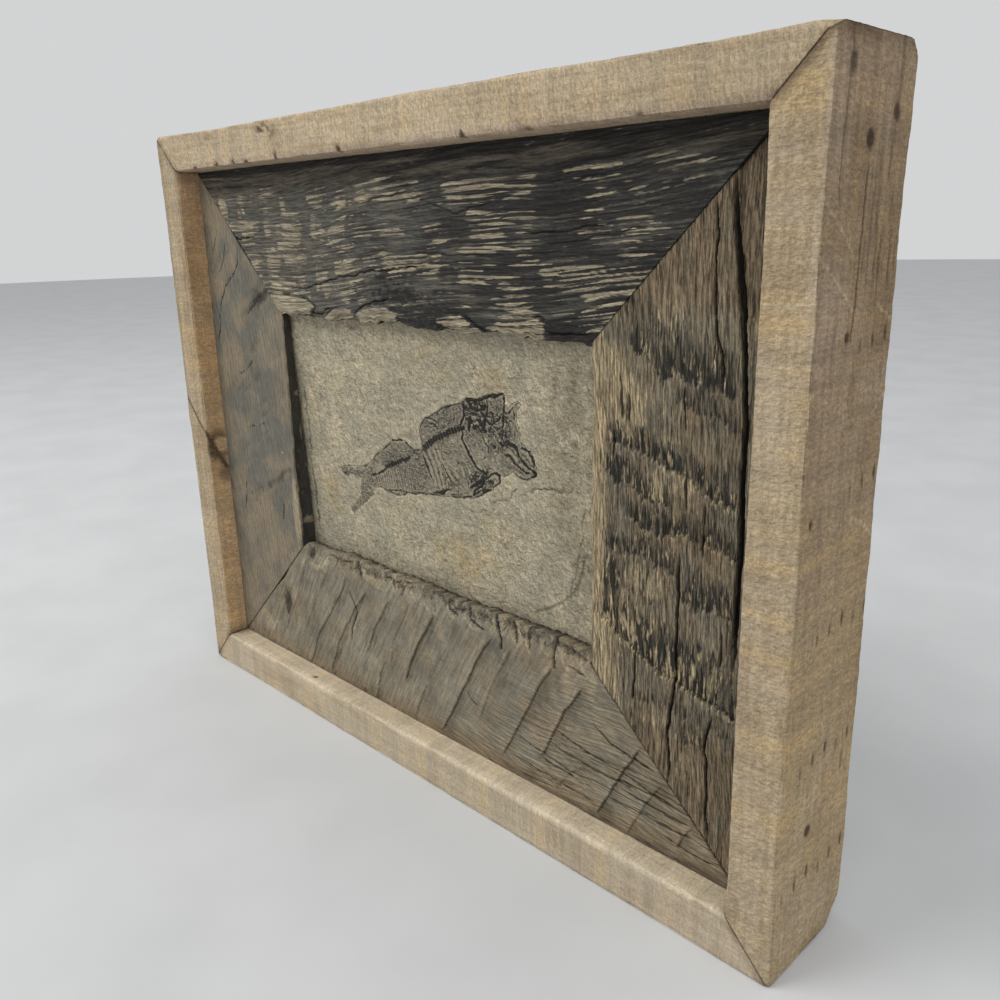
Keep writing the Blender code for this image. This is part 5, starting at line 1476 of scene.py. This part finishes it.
fish = {
    "looks": {
        "filmDark": (62, 58, 50), "filmPale": (144, 137, 119),
        "ribAndHighlight": (158, 147, 127), "bone": (24, 22, 20)},
    "bounds": (-54, 50, 82, 140),
    "step": 0.2,
    "walls": (0.3, 0.8),
    "rise": 0.26,
    "waver": 0.32,
    "outline": (
        (-52.5, 100.4), (-50, 101.6), (-45, 102.4), (-40, 103), (-38, 103.4), (-34.6, 105), (-33, 106.5),
        (-29.5, 109.5), (-26, 111.5), (-23.2, 113.3), (-20.2, 115.2), (-20, 116), (-14, 117),
        (-11.5, 115.8), (-9.5, 114.6), (-8, 114.2), (-6, 114.8), (-4.5, 114.6), (-3, 115.3), (-3.2, 118),
        (-4.5, 121.6), (-3, 124.2), (-1, 126.3), (1, 126.9), (4, 128.3), (8, 130.6), (11.5, 132),
        (14.5, 132.7), (17.9, 133.7), (18.2, 134.9), (22, 135.2), (25.5, 135.6), (28, 136.8), (31, 137.6),
        (35.5, 138.2), (36.1, 137.8), (36.4, 135), (37.4, 133.4), (39.6, 135.6), (41.6, 136.6),
        (42.9, 135.4), (40.6, 133.9), (40.8, 130.5), (42, 127.5), (42.3, 124.5), (44.5, 122.7),
        (46.5, 121.8), (47.5, 120), (47.8, 118), (48.5, 116.8), (48, 115), (46, 113.8), (43, 113),
        (40.5, 113.8), (38.8, 115), (36, 113), (33.2, 112.5), (33.3, 110.5), (32, 109.5), (30, 108.5),
        (29.6, 107.3), (27, 106.3), (24, 104.2), (20, 102.7), (15, 101.7), (10, 101.2), (5, 100.6),
        (0, 99.9), (-5, 99.3), (-10, 98.3), (-14, 98), (-15.8, 96.8), (-20, 96), (-25, 96.8), (-28, 97.2),
        (-31.5, 97), (-32.3, 95.5), (-34.3, 93), (-37.5, 90.8), (-39, 89.8), (-41, 88.4), (-44.5, 85.8),
        (-47.5, 83.8), (-48.8, 84.8), (-47, 87), (-44, 88.8), (-41, 91.5), (-41.5, 94), (-40, 97),
        (-39.5, 98.7), (-43, 99), (-47, 99.2), (-48.5, 97.9), (-51, 98.6)),
    "spines": (  # line, width, pitch
        (((-2, 115.3), (-1, 117), (0.5, 117.7), (2, 118.8), (4, 120.2), (6, 120.9), (8, 121.8),
         (10, 122.8), (12, 123.8), (14, 124.3), (16.5, 125.1)), 2.1, 1.45),
        (((-24.5, 105.5), (-21, 107), (-18, 108.3), (-15.5, 109.3), (-14, 110.2), (-12.5, 110),
         (-10.8, 111.2)), 1.7, 1.4)),
    "bones": (  # line, width, height, darkness
        (((-33.4, 101.1), (-31, 101.8), (-28, 103), (-25, 104.5)), 0.95, 0.25, 0.62),
        (((-39.4, 103.4), (-37, 103.8), (-34.4, 105)), 0.5, 0.15, 0.6),
        (((-26, 111.5), (-23.2, 113.3), (-20.2, 115.2)), 0.5, 0.2, 0.7),
        (((-20, 116), (-17, 116.6), (-14, 117)), 0.8, 0.2, 0.8),
        (((-3, 113.2), (-2.3, 111), (-1.5, 109), (0, 106.5), (0.8, 105)), 0.7, 0.2, 0.66),
        (((3.6, 113.5), (5.2, 110), (6.4, 107.4)), 0.35, 0.1, 0.45),
        (((5.6, 114), (7, 110.6), (9, 107.6)), 0.4, 0.1, 0.5),
        (((1.2, 112.5), (2.6, 109), (4, 105.4)), 0.35, 0.1, 0.42),
        (((9.4, 112.6), (11, 109.8), (12.8, 107.8)), 0.4, 0.1, 0.5),
        (((9.4, 107.6), (10.6, 105.6), (11.4, 104.6)), 0.35, 0.1, 0.5),
        (((6.2, 106.8), (7.4, 104.6)), 0.4, 0.1, 0.5), (((-8.6, 113.4), (-6, 113.4)), 0.6, 0.1, 0.7),
        (((-5.2, 109.2), (-3, 109.8)), 0.6, 0.1, 0.7), (((-7.5, 111.2), (-5.6, 111.6)), 0.5, 0.1, 0.6),
        (((0.5, 101), (5, 101.8), (9, 103.6)), 1.1, 0.3, 0.95),
        (((10, 102), (12.5, 102.4)), 0.5, 0.15, 0.7),
        (((15, 102), (18, 102.8), (20, 103.2)), 0.5, 0.15, 0.75),
        (((-11, 99), (-3, 100.2)), 0.35, 0.1, 0.65), (((-6.8, 101.8), (-5.8, 102)), 0.7, 0.1, 0.7),
        (((-4.5, 122), (-3, 124), (-1, 126.3), (0.5, 127)), 0.8, 0.2, 0.8),
        (((0.5, 127), (3, 128), (7, 130), (9, 131), (13, 132.6), (17, 133.6)), 0.6, 0.15, 0.72),
        (((0.5, 126.8), (4, 126.3), (6.5, 125.6)), 0.5, 0.15, 0.75),
        (((1, 125), (3.5, 124.8), (4.3, 124)), 0.5, 0.15, 0.7),
        (((-4.2, 121), (-3.6, 118.6)), 0.5, 0.1, 0.6),
        (((17.1, 124.5), (17, 122), (17.8, 120), (19, 118), (20.5, 116.2), (22, 114.5), (23.2, 113.4)),
         1.15, 0.6, 1), (((17.5, 119.5), (18.8, 117.2), (20, 116)), 0.5, 0.3, 0.8),
        (((16, 125.3), (18, 125.6)), 1.2, 0.4, 1),
        (((18.2, 134), (18.3, 129.2), (17.3, 127.8), (16.3, 126.2), (16.5, 125.4)), 0.8, 0.4, 1),
        (((19, 134.8), (25.5, 135.3), (28.5, 136.5), (31, 137.5), (36, 138.2)), 1.2, 0.6, 1),
        (((28, 136.2), (32.5, 136.8)), 0.55, 0.3, 0.85),
        (((20.5, 132.3), (24, 132), (27.5, 132.8)), 1.2, 0.5, 1),
        (((27.2, 132.8), (28, 134.4)), 1.1, 0.5, 1), (((20.5, 134), (22, 133)), 0.9, 0.4, 0.95),
        (((22, 130.7), (24, 130.5)), 1.1, 0.4, 1),
        (((26, 131.5), (28, 130.3), (27.4, 129), (26.5, 127), (27.8, 125.8)), 1.4, 0.5, 1),
        (((24.3, 128.5), (25.8, 128)), 0.9, 0.3, 0.9), (((23.5, 127.2), (24.3, 126.8)), 0.8, 0.3, 0.9),
        (((20.3, 129.5), (21.8, 128), (20.5, 127.5), (20, 125)), 1.3, 0.4, 1),
        (((22.6, 135), (23.4, 133.2)), 0.7, 0.3, 0.9), (((25, 134.8), (26, 133.4)), 0.6, 0.3, 0.85),
        (((35, 132), (34, 131), (32.5, 129.5), (30, 128.2), (28.2, 129)), 0.75, 0.4, 0.95),
        (((28.5, 131), (28.7, 133), (29, 135.5)), 0.75, 0.4, 0.95),
        (((36, 138), (36.1, 136), (36, 134), (35.5, 131), (35.2, 129), (35, 127.5), (34.5, 127)),
         0.65, 0.35, 0.92), (((30.5, 128), (32, 127.5), (34, 127.5)), 0.45, 0.2, 0.8),
        (((35.9, 134), (36.5, 132.4), (38, 132.6), (38.5, 133.5), (40, 135)), 0.5, 0.25, 0.85),
        (((41, 136.2), (42, 136.7)), 0.4, 0.2, 0.8), (((40, 134), (40, 131)), 0.55, 0.2, 0.8),
        (((38, 130.4), (39, 130.4)), 0.6, 0.2, 0.85), (((40.2, 127.5), (40.3, 125.5)), 0.55, 0.2, 0.8),
        (((40.5, 132), (42.3, 128), (42.6, 125.5), (43, 123)), 0.4, 0.1, 0.55),
        (((36, 124), (38, 123.3), (40, 123.2), (41.5, 121.5), (41.8, 120)), 1.4, 0.5, 1),
        (((33, 123), (35, 122.3), (36, 123.3)), 0.95, 0.4, 0.95),
        (((30.6, 121.4), (31.4, 121.6)), 1.5, 0.4, 0.9),
        (((42, 120), (44, 118.5), (46, 117), (48, 115.9)), 0.9, 0.5, 1),
        (((42.2, 119), (45, 117.2)), 0.5, 0.3, 0.9),
        (((36, 119.3), (37.5, 119.8), (38.5, 119), (40, 117.8), (42, 116.7), (44.5, 115.4), (46, 115.6)),
         0.8, 0.4, 0.95), (((46.6, 116), (48, 116.4)), 1.5, 0.4, 0.95),
        (((39, 114.9), (41, 113.6), (43, 113.1), (45.5, 113.8), (47.5, 114.8), (48.3, 116.3)),
         0.65, 0.3, 0.85),
        (((43, 123), (45.5, 122.2), (47, 121), (47.3, 119.5), (48, 117.8)), 0.6, 0.3, 0.82),
        (((22, 113.8), (24.5, 112.8), (27, 112), (27.7, 113.3)), 0.95, 0.5, 0.95),
        (((28.5, 114.2), (30, 114.3)), 0.4, 0.15, 0.7),
        (((25.5, 110.8), (28, 111), (29, 112), (31, 113.1), (33, 113), (33.4, 112), (33, 110.5),
         (31.5, 109), (30, 108.3)), 0.75, 0.4, 0.92),
        (((26.5, 110.3), (23, 108.3), (19.5, 106.2)), 1.5, 0.5, 0.95),
        (((26.2, 109), (22, 106), (20.5, 104.2)), 0.85, 0.4, 0.92),
        (((25, 106.7), (21, 104)), 0.6, 0.3, 0.85), (((18.5, 109.5), (22, 107.5)), 0.45, 0.2, 0.75),
        (((26, 106.3), (29.2, 107.2)), 0.85, 0.35, 0.95), (((25.2, 105.3), (27.5, 106)), 0.5, 0.2, 0.8),
        (((17.5, 109), (18.5, 107.5), (18.4, 105)), 0.55, 0.2, 0.8),
        (((26, 124), (28.2, 121.5), (28.5, 119)), 0.45, 0.15, 0.6),
        (((25, 116.5), (27, 117.6)), 0.45, 0.15, 0.7),
        (((-22, 97.6), (-18, 98.2), (-16, 98.9)), 0.6, 0.2, 0.8),
        (((-30, 97.4), (-24, 97.2), (-14, 98.4)), 0.4, 0.1, 0.6),
        (((-51, 98.9), (-48.6, 99.4)), 0.7, 0.15, 0.5)),
    "ribs": (  # pale ones
        ((0, 115.6), (1.9, 111), (3.6, 106.4), (4.6, 103)),
        ((2.6, 116.6), (4.6, 111), (6, 106.6), (6.6, 103.6)),
        ((5, 116), (6.4, 112.6), (8, 109.2), (9.6, 106)),
        ((6.6, 113.6), (8.2, 111), (10.2, 108.4), (12.4, 106.6)), ((6.9, 113.2), (9, 109.4), (11.6, 106.4)),
        ((-2.2, 114), (0.2, 109), (2.2, 104)), ((7.6, 104.6), (8.4, 106.4), (9.4, 107)),
        ((12, 110.4), (13.4, 108.6)), ((15.4, 112), (16.6, 109.8)), ((19, 112), (20.4, 110)),
        ((21.8, 126.4), (23.4, 127.8), (25, 128.2)), ((36.6, 121.2), (38, 121.2), (41, 118.6)),
        ((42.6, 121.8), (45, 121.6), (46.6, 119)), ((28.8, 111), (31, 112.2), (32.4, 111.4))),
    "darkSpots": (
        (24, 131, 7, 6, 0.6), (-5, 110.5, 3.2, 5.5, 0.45), (7, 127, 10, 5, 0.3), (39, 121.5, 4, 2.6, 0.4),
        (45, 117.4, 4, 2.6, 0.25), (-14, 104, 9, 6, 0.38), (-8.5, 107, 3.6, 6, 0.5), (-33, 100, 3, 3, 0.3),
        (-49, 100, 5, 2.2, 0.4), (-45, 87.4, 5, 4, 0.8), (-20, 111, 8, 5, 0.3), (24, 108, 5, 3, 0.3),
        (32, 132.6, 4, 4, 0.28), (19.2, 127.5, 1.4, 2, 0.5), (13.4, 104.6, 4.4, 2.8, 0.2),
        (38, 129, 4, 5, 0.12), (-38, 93, 4, 6, 0.45), (28, 104, 30, 3, -0.1)),
    "skull": (
        (23.5, 131, 6, 5, 1), (27, 128, 3, 3.5, 0.9), (33, 127, 7, 9, 0.54), (40, 119.5, 8, 4.5, 0.38),
        (25, 109, 7, 4.5, 0.55)),
    "fins": ((6, 127, 12, 5, 1), (-20, 110, 8, 4, 0.7)),
    "smooth": (
        (13.4, 104.6, 4.4, 2.8, 1), (-42, 96, 9, 14, 0.9), (-30, 101, 9, 3, 0.7),
        (31.5, 132.5, 3.5, 3.5, 0.7), (44.5, 120, 2.5, 1.6, 0.7)),
}


def stoneFace(z):
    share = (places["openingTop"] - z) / (places["openingTop"] - places["openingBottom"])
    return places["barnFront"] + stone["depthTop"] + (stone["depthBottom"] - stone["depthTop"]) * share


def flakeLevel(x, z):
    # the stone splits into thin flakes: a new one starts at each whole number
    return 2.6 * clouds(x, z, 15, 11, 109, 4, 0.55)


def stoneSkin(x, z):
    # how far the stone's face stands back from its plane, with its ripples, pits and thin flakes
    deep = 0.34 + stone["lumps"] * clouds(x, z, 26, 20, 101, 2)
    deep = deep + stone["waves"] * clouds(x + 0.4 * z, z - 0.3 * x, 7, 4.5, 102, 3)
    ripple = np.abs(clouds(x, z, 3.4, 2.6, 103, 4, 0.6))
    deep = deep + stone["pits"] * (0.6 - 1.6 * ripple)
    level = flakeLevel(x, z) + 5
    return deep + stone["flake"] * (np.floor(level) + ease(level - np.floor(level), 0, 0.12) - 5)


def stoneNodes(spot):
    # the stone's own colour and bumps, which the fish shares, so that its thin rim runs into the slab
    looks = {key: tone(*value) for key, value in stone["looks"].items()}
    small = grainOf(spot, 0.55, 4, 0.7)
    middle = grainOf(spot, 2.2, 4, 0.6, 0.3)
    cloud = grainOf(spot, 13, 4, 0.55)
    blot = grainOf(stretched(spot, (0.6, 1, 1.6)), 2.1, 4, 0.65)
    pits = grainOf(stretched(spot, (0.7, 1, 1.5)), 1.3, 4, 0.65)
    paint = layered(
        looks["dull"], (rampOf(cloud, 0.36, 0.64), looks["bright"]),
        (rampOf(maskOf("stainAndShade"), 0, 1, 0, 0.6), looks["stainAndShade"]),
        (rampOf(maskOf("yellow"), 0, 1, 0, 0.55), looks["yellow"]))
    # thin broken lines where flakes have lifted: a dark line of painted shadow below and a pale line of
    # painted highlight above
    flake = grainOf(spot, 10, 6, 0.62, 0.4)
    below = grainOf(shifted(spot, (-0.15, 0, -0.35)), 10, 6, 0.62, 0.4)
    where = rampOf(grainOf(spot, 14, 2), 0.46, 0.58)
    rim = times(lineOf(flake, 0.52, 0.013), where)
    lip = times(lineOf(below, 0.52, 0.018), where)
    chip = sums("SUBTRACT", grainOf(spot, 5, 4, 0.6, 0.8), 0.5)
    edge = times(rampOf(sums("ABSOLUTE", chip), 0, 0.028, 1, 0), rampOf(cloud, 0.44, 0.58))
    value = times(
        rampOf(small, 0.28, 0.72, 0.82, 1.18),
        reliefOf(spot, 1.9, (0.2, 0, 0.25), 0.74, 1.26, 5, 0.68),
        reliefOf(spot, 9, (0.25, 0, 0.4), 0.76, 1.2, 6, 0.74),
        sums("MULTIPLY_ADD", rim, -0.5, 1.0),
        sums("MULTIPLY_ADD", lip, 0.24, 1.0),
        sums("MULTIPLY_ADD", edge, -0.26, 1.0),
        rampOf(chip, -0.02, 0.05, 0.96, 1.06),
        rampOf(middle, 0.3, 0.7, 0.88, 1.1),
        rampOf(blot, 0.36, 0.40, 0.7, 1),
        rampOf(pits, 0.35, 0.4, 0.7, 1),
        rampOf(pits, 0.6, 0.66, 1, 1.2),
        rampOf(maskOf("crack"), 0.1, 0.9, 1, 0.5),
        rampOf(maskOf("light"), 0, 1, 1, 1.14))
    return shadeTone(paint, value), small, [(middle, 0.7, 1.0), (small, 0.3, 1.0)]


def stoneMasks(x, z):
    yellow = patches(x, z, stone["yellowSpots"]) * (0.7 + 0.5 * clouds(x, z, 6, 6, 104, 3))
    # stains, and the painted shadow band under the top board
    stainAndShade = patches(x, z, stone["stainAndShadeSpots"]) * (0.7 + 0.6 * clouds(x, z, 4, 3, 110, 3))
    light = patches(x, z, stone["lightSpots"]) * (0.6 + 0.7 * clouds(x, z, 5, 5, 105, 3))
    return {"yellow": yellow, "stainAndShade": stainAndShade, "light": light}


def buildStone():
    x0, x1, z0, z1 = stone["bounds"]
    piece = newSheet("stoneSlab", x0, x1, z0, z1, 0.0, stone["step"], stone["step"])
    depths = (0.6, 1.6, 3.4)
    growWalls(piece, depths)
    x, y, z = readPoints(piece)
    back = y / depths[-1]
    deep = stoneSkin(x, z)
    cut, dark = grooves(x, z, stone["cracks"], 0.6, 106)
    deep = deep + cut
    # a shallow step runs down the lower right, with a dark line at its foot
    away, share = nearLine(x, z + 1.2 * clouds(x, z, 4, 4, 107, 3), stone["ledge"], 14)
    ledgeX, ledgeZ = zip(*reversed(stone["ledge"]))
    rightOf = x > np.interp(z, ledgeZ, ledgeX)
    deep = deep + 0.5 * np.clip(1 - away / 13.0, 0, 1) * rightOf * (share > 0)
    dark = np.maximum(dark, 0.5 * np.exp(-(away / 0.4) ** 2))
    # the rims of the flakes
    level = flakeLevel(x, z)
    rimLine = 1 - np.abs((level - np.floor(level)) - 0.06) / 0.10
    dark = np.maximum(dark, 0.55 * np.clip(rimLine, 0, 1) * ease(clouds(x, z, 9, 9, 111, 2), -0.35, 0.35))
    # a hollow under the fish, and a paler line round it
    outline = fish["outline"]
    deep = deep + np.where(insideOutline(x, z, outline), 1.0, 0.0) * (back < 0.01)
    away = nearLine(x, z, outline + outline[:1], 2)[0]
    lit = 0.8 * ease(1.3 - away, 0, 0.8) * ease(clouds(x, z, 6, 6, 112, 2), -0.3, 0.3)
    face = stoneFace(z) + deep
    depthAt = face + back * (stone["back"] - face)
    masks = stoneMasks(x, z)
    masks["light"] = masks["light"] + lit
    addMasks(piece, {**masks, "crack": dark})
    # the rim is broken and uneven
    edge = np.abs(0.7 * clouds(x, z, 9, 9, 108, 3))
    onX = (x < x0 + 0.1) | (x > x1 - 0.1)
    onZ = (z < z0 + 0.1) | (z > z1 - 0.1)
    x = np.where(onX, np.clip(x - np.sign(x) * edge, x0, x1), x)
    z = np.where(onZ, np.clip(z - np.sign(z - 111) * edge, z0, z1), z)
    writePoints(piece, x, depthAt, z)
    material, shader = startMaterial("limestone")
    paint, small, bumps = stoneNodes(objectSpace())
    roughness = rampOf(small, 0.2, 0.8, 0.8, 0.95)
    feed(shader, {
        "Base Color": paint, "Roughness": roughness, "Normal": bumpOf(*bumps), "Specular IOR Level": 0.2})
    finishPiece(piece, "stone_slab", material, 60)


def fishMaterial():
    material, shader = startMaterial("fossilBone")
    spot = objectSpace()
    paint, _, bumps = stoneNodes(spot)
    looks = {key: tone(*value) for key, value in fish["looks"].items()}
    scales = grainOf(stretched(spot, (0.6, 1, 1.3)), 0.6, 4, 0.7)
    flecks = grainOf(spot, 1.6, 3, 0.6)
    cover = sums("ADD", maskOf("film"), rampOf(flecks, 0.3, 0.7, -0.16, 0.14))
    film = mixTones(rampOf(scales, 0.36, 0.62), looks["filmDark"], looks["filmPale"])
    film = shadeTone(film, reliefOf(spot, 1.8, (0.25, 0, 0.4), 0.62, 1.4, 4, 0.65))
    crease = times(lineOf(grainOf(spot, 3, 5, 0.66, 0.5), 0.5, 0.04, 0.66, 0.004), maskOf("crease"))
    bone = sums("ADD", sums("MAXIMUM", maskOf("bone"), crease), rampOf(scales, 0.3, 0.7, -0.16, 0.16))
    paint = layered(
        paint, (rampOf(cover, 0.05, 0.85, 0, 0.95), film),
        (rampOf(maskOf("ribAndHighlight"), 0.15, 0.8, 0, 0.8), looks["ribAndHighlight"]),
        (rampOf(bone, 0.2, 0.6, 0, 0.97), looks["bone"]))
    feed(shader, {
        "Base Color": paint,
        "Roughness": rampOf(maskOf("bone"), 0.2, 0.9, 0.85, 0.5),
        "Normal": bumpOf(*bumps, (scales, 0.2, 1.0)),
        "Specular IOR Level": 0.3})
    return material


def fishBlank(closed):
    # a fine sheet cut to the outline, with its stepped rim drawn onto it and walls behind
    step = fish["step"]
    piece = newSheet("fossilFish", *fish["bounds"], 0.0, step, step)
    mesh = openEdit(piece, "FACE")
    centres = np.array([face.calc_center_median() for face in mesh.faces]) / mm
    keep = insideOutline(centres[:, 0], centres[:, 2], fish["outline"])
    for face, kept in zip(mesh.faces, keep):
        face.select_set(not kept)
    bmesh.update_edit_mesh(piece.data)
    bpy.ops.mesh.delete(type="FACE")
    closeEdit()
    mesh = bmesh.new()
    mesh.from_mesh(piece.data)
    rim = np.array([point.is_boundary for point in mesh.verts])
    mesh.free()
    x, y, z = readPoints(piece)
    rimX, rimZ = x.copy(), z.copy()
    best = np.full(x.shape, 9.0)
    for start, end in zip(closed, closed[1:]):
        length = np.hypot(*(end - start))
        along = (end - start) / length
        run = np.clip((x - start[0]) * along[0] + (z - start[1]) * along[1], 0, length)
        nearX = start[0] + run * along[0]
        nearZ = start[1] + run * along[1]
        distance = np.hypot(x - nearX, z - nearZ)
        closer = distance < best
        best[closer] = distance[closer]
        rimX[closer] = nearX[closer]
        rimZ[closer] = nearZ[closer]
    snap = rim & (best < 0.9 * step)
    writePoints(piece, np.where(snap, rimX, x), y, np.where(snap, rimZ, z))
    growWalls(piece, fish["walls"])
    return piece


def drawBones(x, z, wx, wz, rise):
    # dark bones and the two rows of vertebrae, raised, and a pale line of painted highlight beside each bone
    bone = np.zeros_like(x)
    halo = np.zeros_like(x)
    uneven = clouds(x, z, 1.4, 1.4, 134, 3, 0.6)
    for line, width, height, darkness in fish["bones"]:
        away, share = nearLine(wx, wz, line, width + 1)
        taper = np.clip(np.minimum(share, 1 - share) * 7 + 0.25, 0, 1)
        half = np.maximum(width / 2 * (0.42 + 0.44 * taper) * (1 + 0.5 * uneven), 0.14)
        beside = ease(1 - np.abs(away - half - 0.42) / 0.4, 0, 0.8) * (share > 0)
        halo = np.maximum(halo, darkness * taper * beside)
        rise = rise + height * 0.6 * taper * (ease(1 - away / half, 0, 1) * (share > 0))
        cover = ease(1.3 - away / half, 0, 0.7) * (share > 0)
        bone = np.maximum(bone, darkness * (0.92 + 0.3 * uneven) * cover)
    for line, width, pitch in fish["spines"]:
        away, share = nearLine(x, z, line, 3)
        length = sum(math.dist(a, b) for a, b in zip(line, line[1:]))
        beat = 0.5 + 0.5 * np.cos(2 * np.pi * (share * length + 0.2 * clouds(x, z, 3, 3, 131, 2)) / pitch)
        half = width / 2 * (0.72 + 0.28 * beat) * (1 + 0.25 * clouds(x, z, 2.2, 2.2, 132, 2))
        over = ease(1.3 - away / half, 0, 0.5) * (share > 0)
        rise = rise + 0.38 * over * (0.25 + 0.75 * beat)
        bone = np.maximum(bone, over * (0.42 + 0.58 * ease(beat, 0.1, 0.6)))
    return bone, halo, rise


def drawRibs(x, z, wx, wz, inner, bone):
    # pale ribs with thin dark sides, and fine rays behind them
    ribs = np.zeros_like(x)
    for line in fish["ribs"]:
        away, share = nearLine(wx, wz, line, 2)
        over = ease(1.2 - away / 0.7, 0, 0.9) * (share > 0)
        ribs = np.maximum(ribs, over * (1 - 0.5 * np.abs(share - 0.5)))
        bone = np.maximum(bone, 0.42 * ease(1 - np.abs(away - 1) / 0.4, 0, 0.8) * (share > 0) * inner)
    rear = ease(-x, 8, 11) * ease(x, -34, -28) * ease(-z, -108, -104)
    rays = np.sin((x + 0.16 * (z - 100) + 0.3 * clouds(x, z, 3, 6, 133, 2)) * 2 * np.pi / 1.3)
    ribs = np.maximum(ribs, 0.75 * ease(rays, 0.2, 0.9) * rear)
    return ribs, np.maximum(bone, 0.34 * ease(-rays, 0.5, 1) * rear)


def buildFish():
    closed = np.array(fish["outline"] + fish["outline"][:1])
    piece = fishBlank(closed)
    x, y, z = readPoints(piece)
    back = y / fish["walls"][-1]
    fromRim = nearLine(x, z, closed, 4)[0]
    inner = ease(fromRim, 0, 0.9)
    rise = 0.04 + fish["rise"] * inner * (0.7 + 0.3 * clouds(x, z, 4, 3, 121, 3))
    wx = x + fish["waver"] * clouds(x, z, 1.3, 1.3, 122, 3, 0.6)
    wz = z + fish["waver"] * clouds(x, z, 1.3, 1.3, 123, 3, 0.6)
    bone, halo, rise = drawBones(x, z, wx, wz, rise)
    # wrinkles in the skull, fine creases elsewhere, parts of the rim and stippled fins
    skull = patches(x, z, fish["skull"])
    smooth = np.clip(patches(x, z, fish["smooth"]), 0, 1)
    wrinkle = 1 - np.abs(clouds(x, z, 2.4, 1.8, 124, 3)) / 0.17
    wrinkle = np.maximum(wrinkle, 1 - np.abs(clouds(x, z, 1.5, 2.2, 127, 2) - 0.2) / 0.15)
    loose = 1 - np.abs(clouds(x, z, 3.6, 2.4, 128, 3)) / 0.10
    loose = np.clip(loose, 0, 1) * inner * ease(clouds(x, z, 9, 7, 129, 2), -0.3, 0.4) * (1 - smooth)
    rim = ease(0.75 - fromRim, 0, 0.5) * ease(clouds(x, z, 6, 6, 130, 2), -0.45, 0.35)
    stipple = ease(clouds(x + 0.5 * z, z - 0.5 * x, 1.6, 0.6, 125, 2), 0.35, 0.75)
    bone = most(
        bone, 0.95 * np.clip(1.9 * wrinkle, 0, 1) * ease(skull, 0.18, 0.64), 0.42 * loose,
        0.5 * rim * ease(x, -36, -30) * ease(-x, -40, -34),
        0.5 * stipple * ease(patches(x, z, fish["fins"]), 0.3, 0.7))
    ribs, bone = drawRibs(x, z, wx, wz, inner, bone)
    # the pale ribs, with the painted highlight beside each bone laid into the same mask
    ribs = np.maximum(ribs, 0.75 * halo) * (1 - bone)
    rise = rise + 0.10 * ribs
    cover = ease(fromRim, -0.1, 0.45)
    film = cover * (0.7 + 0.2 * ease(-x, 34, 39)) * (0.9 + 0.25 * clouds(x, z, 4, 3, 126, 3))
    film = film + patches(x, z, fish["darkSpots"]) * cover
    masks = {
        "film": film * (1 - 0.6 * ribs),
        "crease": inner * (1 - smooth) * (0.42 + 0.9 * skull),
        "bone": bone,
        "ribAndHighlight": ribs,
        "crack": np.zeros_like(x),
    }
    addMasks(piece, {**masks, **stoneMasks(x, z)})
    y = stoneFace(z) + stoneSkin(x, z) - rise * (1 - back) + back * 0.85
    writePoints(piece, x, y, z)
    finishPiece(piece, "fossil_fish", fishMaterial(), 60)


# Panel behind the slab.

panel = {
    "front": 7,
    "thickness": 4,
    "clearance": 0.05,
    "pale": (150, 118, 84),
    "deep": (122, 92, 62),
}


def buildPanel():
    gap = panel["clearance"]
    low = (-places["innerX"] + gap, panel["front"], places["innerBottom"] + gap)
    high = (places["innerX"] - gap, panel["front"] + panel["thickness"], places["innerTop"] - gap)
    piece = newBlock("backingBoard", low, high)
    openEdit(piece, "EDGE")
    bpy.ops.mesh.select_all(action="SELECT")
    bpy.ops.mesh.bevel(offset=0.5 * mm, segments=2, affect="EDGES")
    for axis in (0, 2):
        pick(piece, lambda edge: abs((edge.verts[1].co - edge.verts[0].co)[axis]) > 100 * mm)
        bpy.ops.mesh.subdivide(number_cuts=70)
    closeEdit()
    x, y, z = readPoints(piece)
    rear = y > panel["front"] + panel["thickness"] / 2
    y = y + np.where(rear, -1, 1) * 0.06 * (1 + clouds(x, z, 30, 30, 141, 3))
    writePoints(piece, x, y, z)
    material, shader = startMaterial("pressedPanel")
    spot = objectSpace()
    fibres = grainOf(spot, 1.1, 5, 0.65, 1.2)
    paint = mixTones(rampOf(fibres, 0.32, 0.68), tone(*panel["deep"]), tone(*panel["pale"]))
    feed(shader, {
        "Base Color": shadeTone(paint, rampOf(grainOf(spot, 24, 3), 0.3, 0.7, 0.86, 1.08)),
        "Roughness": rampOf(fibres, 0.2, 0.8, 0.6, 0.8),
        "Normal": bumpOf((fibres, 0.12, 1.0))})
    finishPiece(piece, "backing_board", material)


buildStudio()
buildOuterFrame()
buildTopBoard()
buildBottomBoard()
buildRightBoard()
buildLeftBoard()
buildStone()
buildFish()
buildPanel()
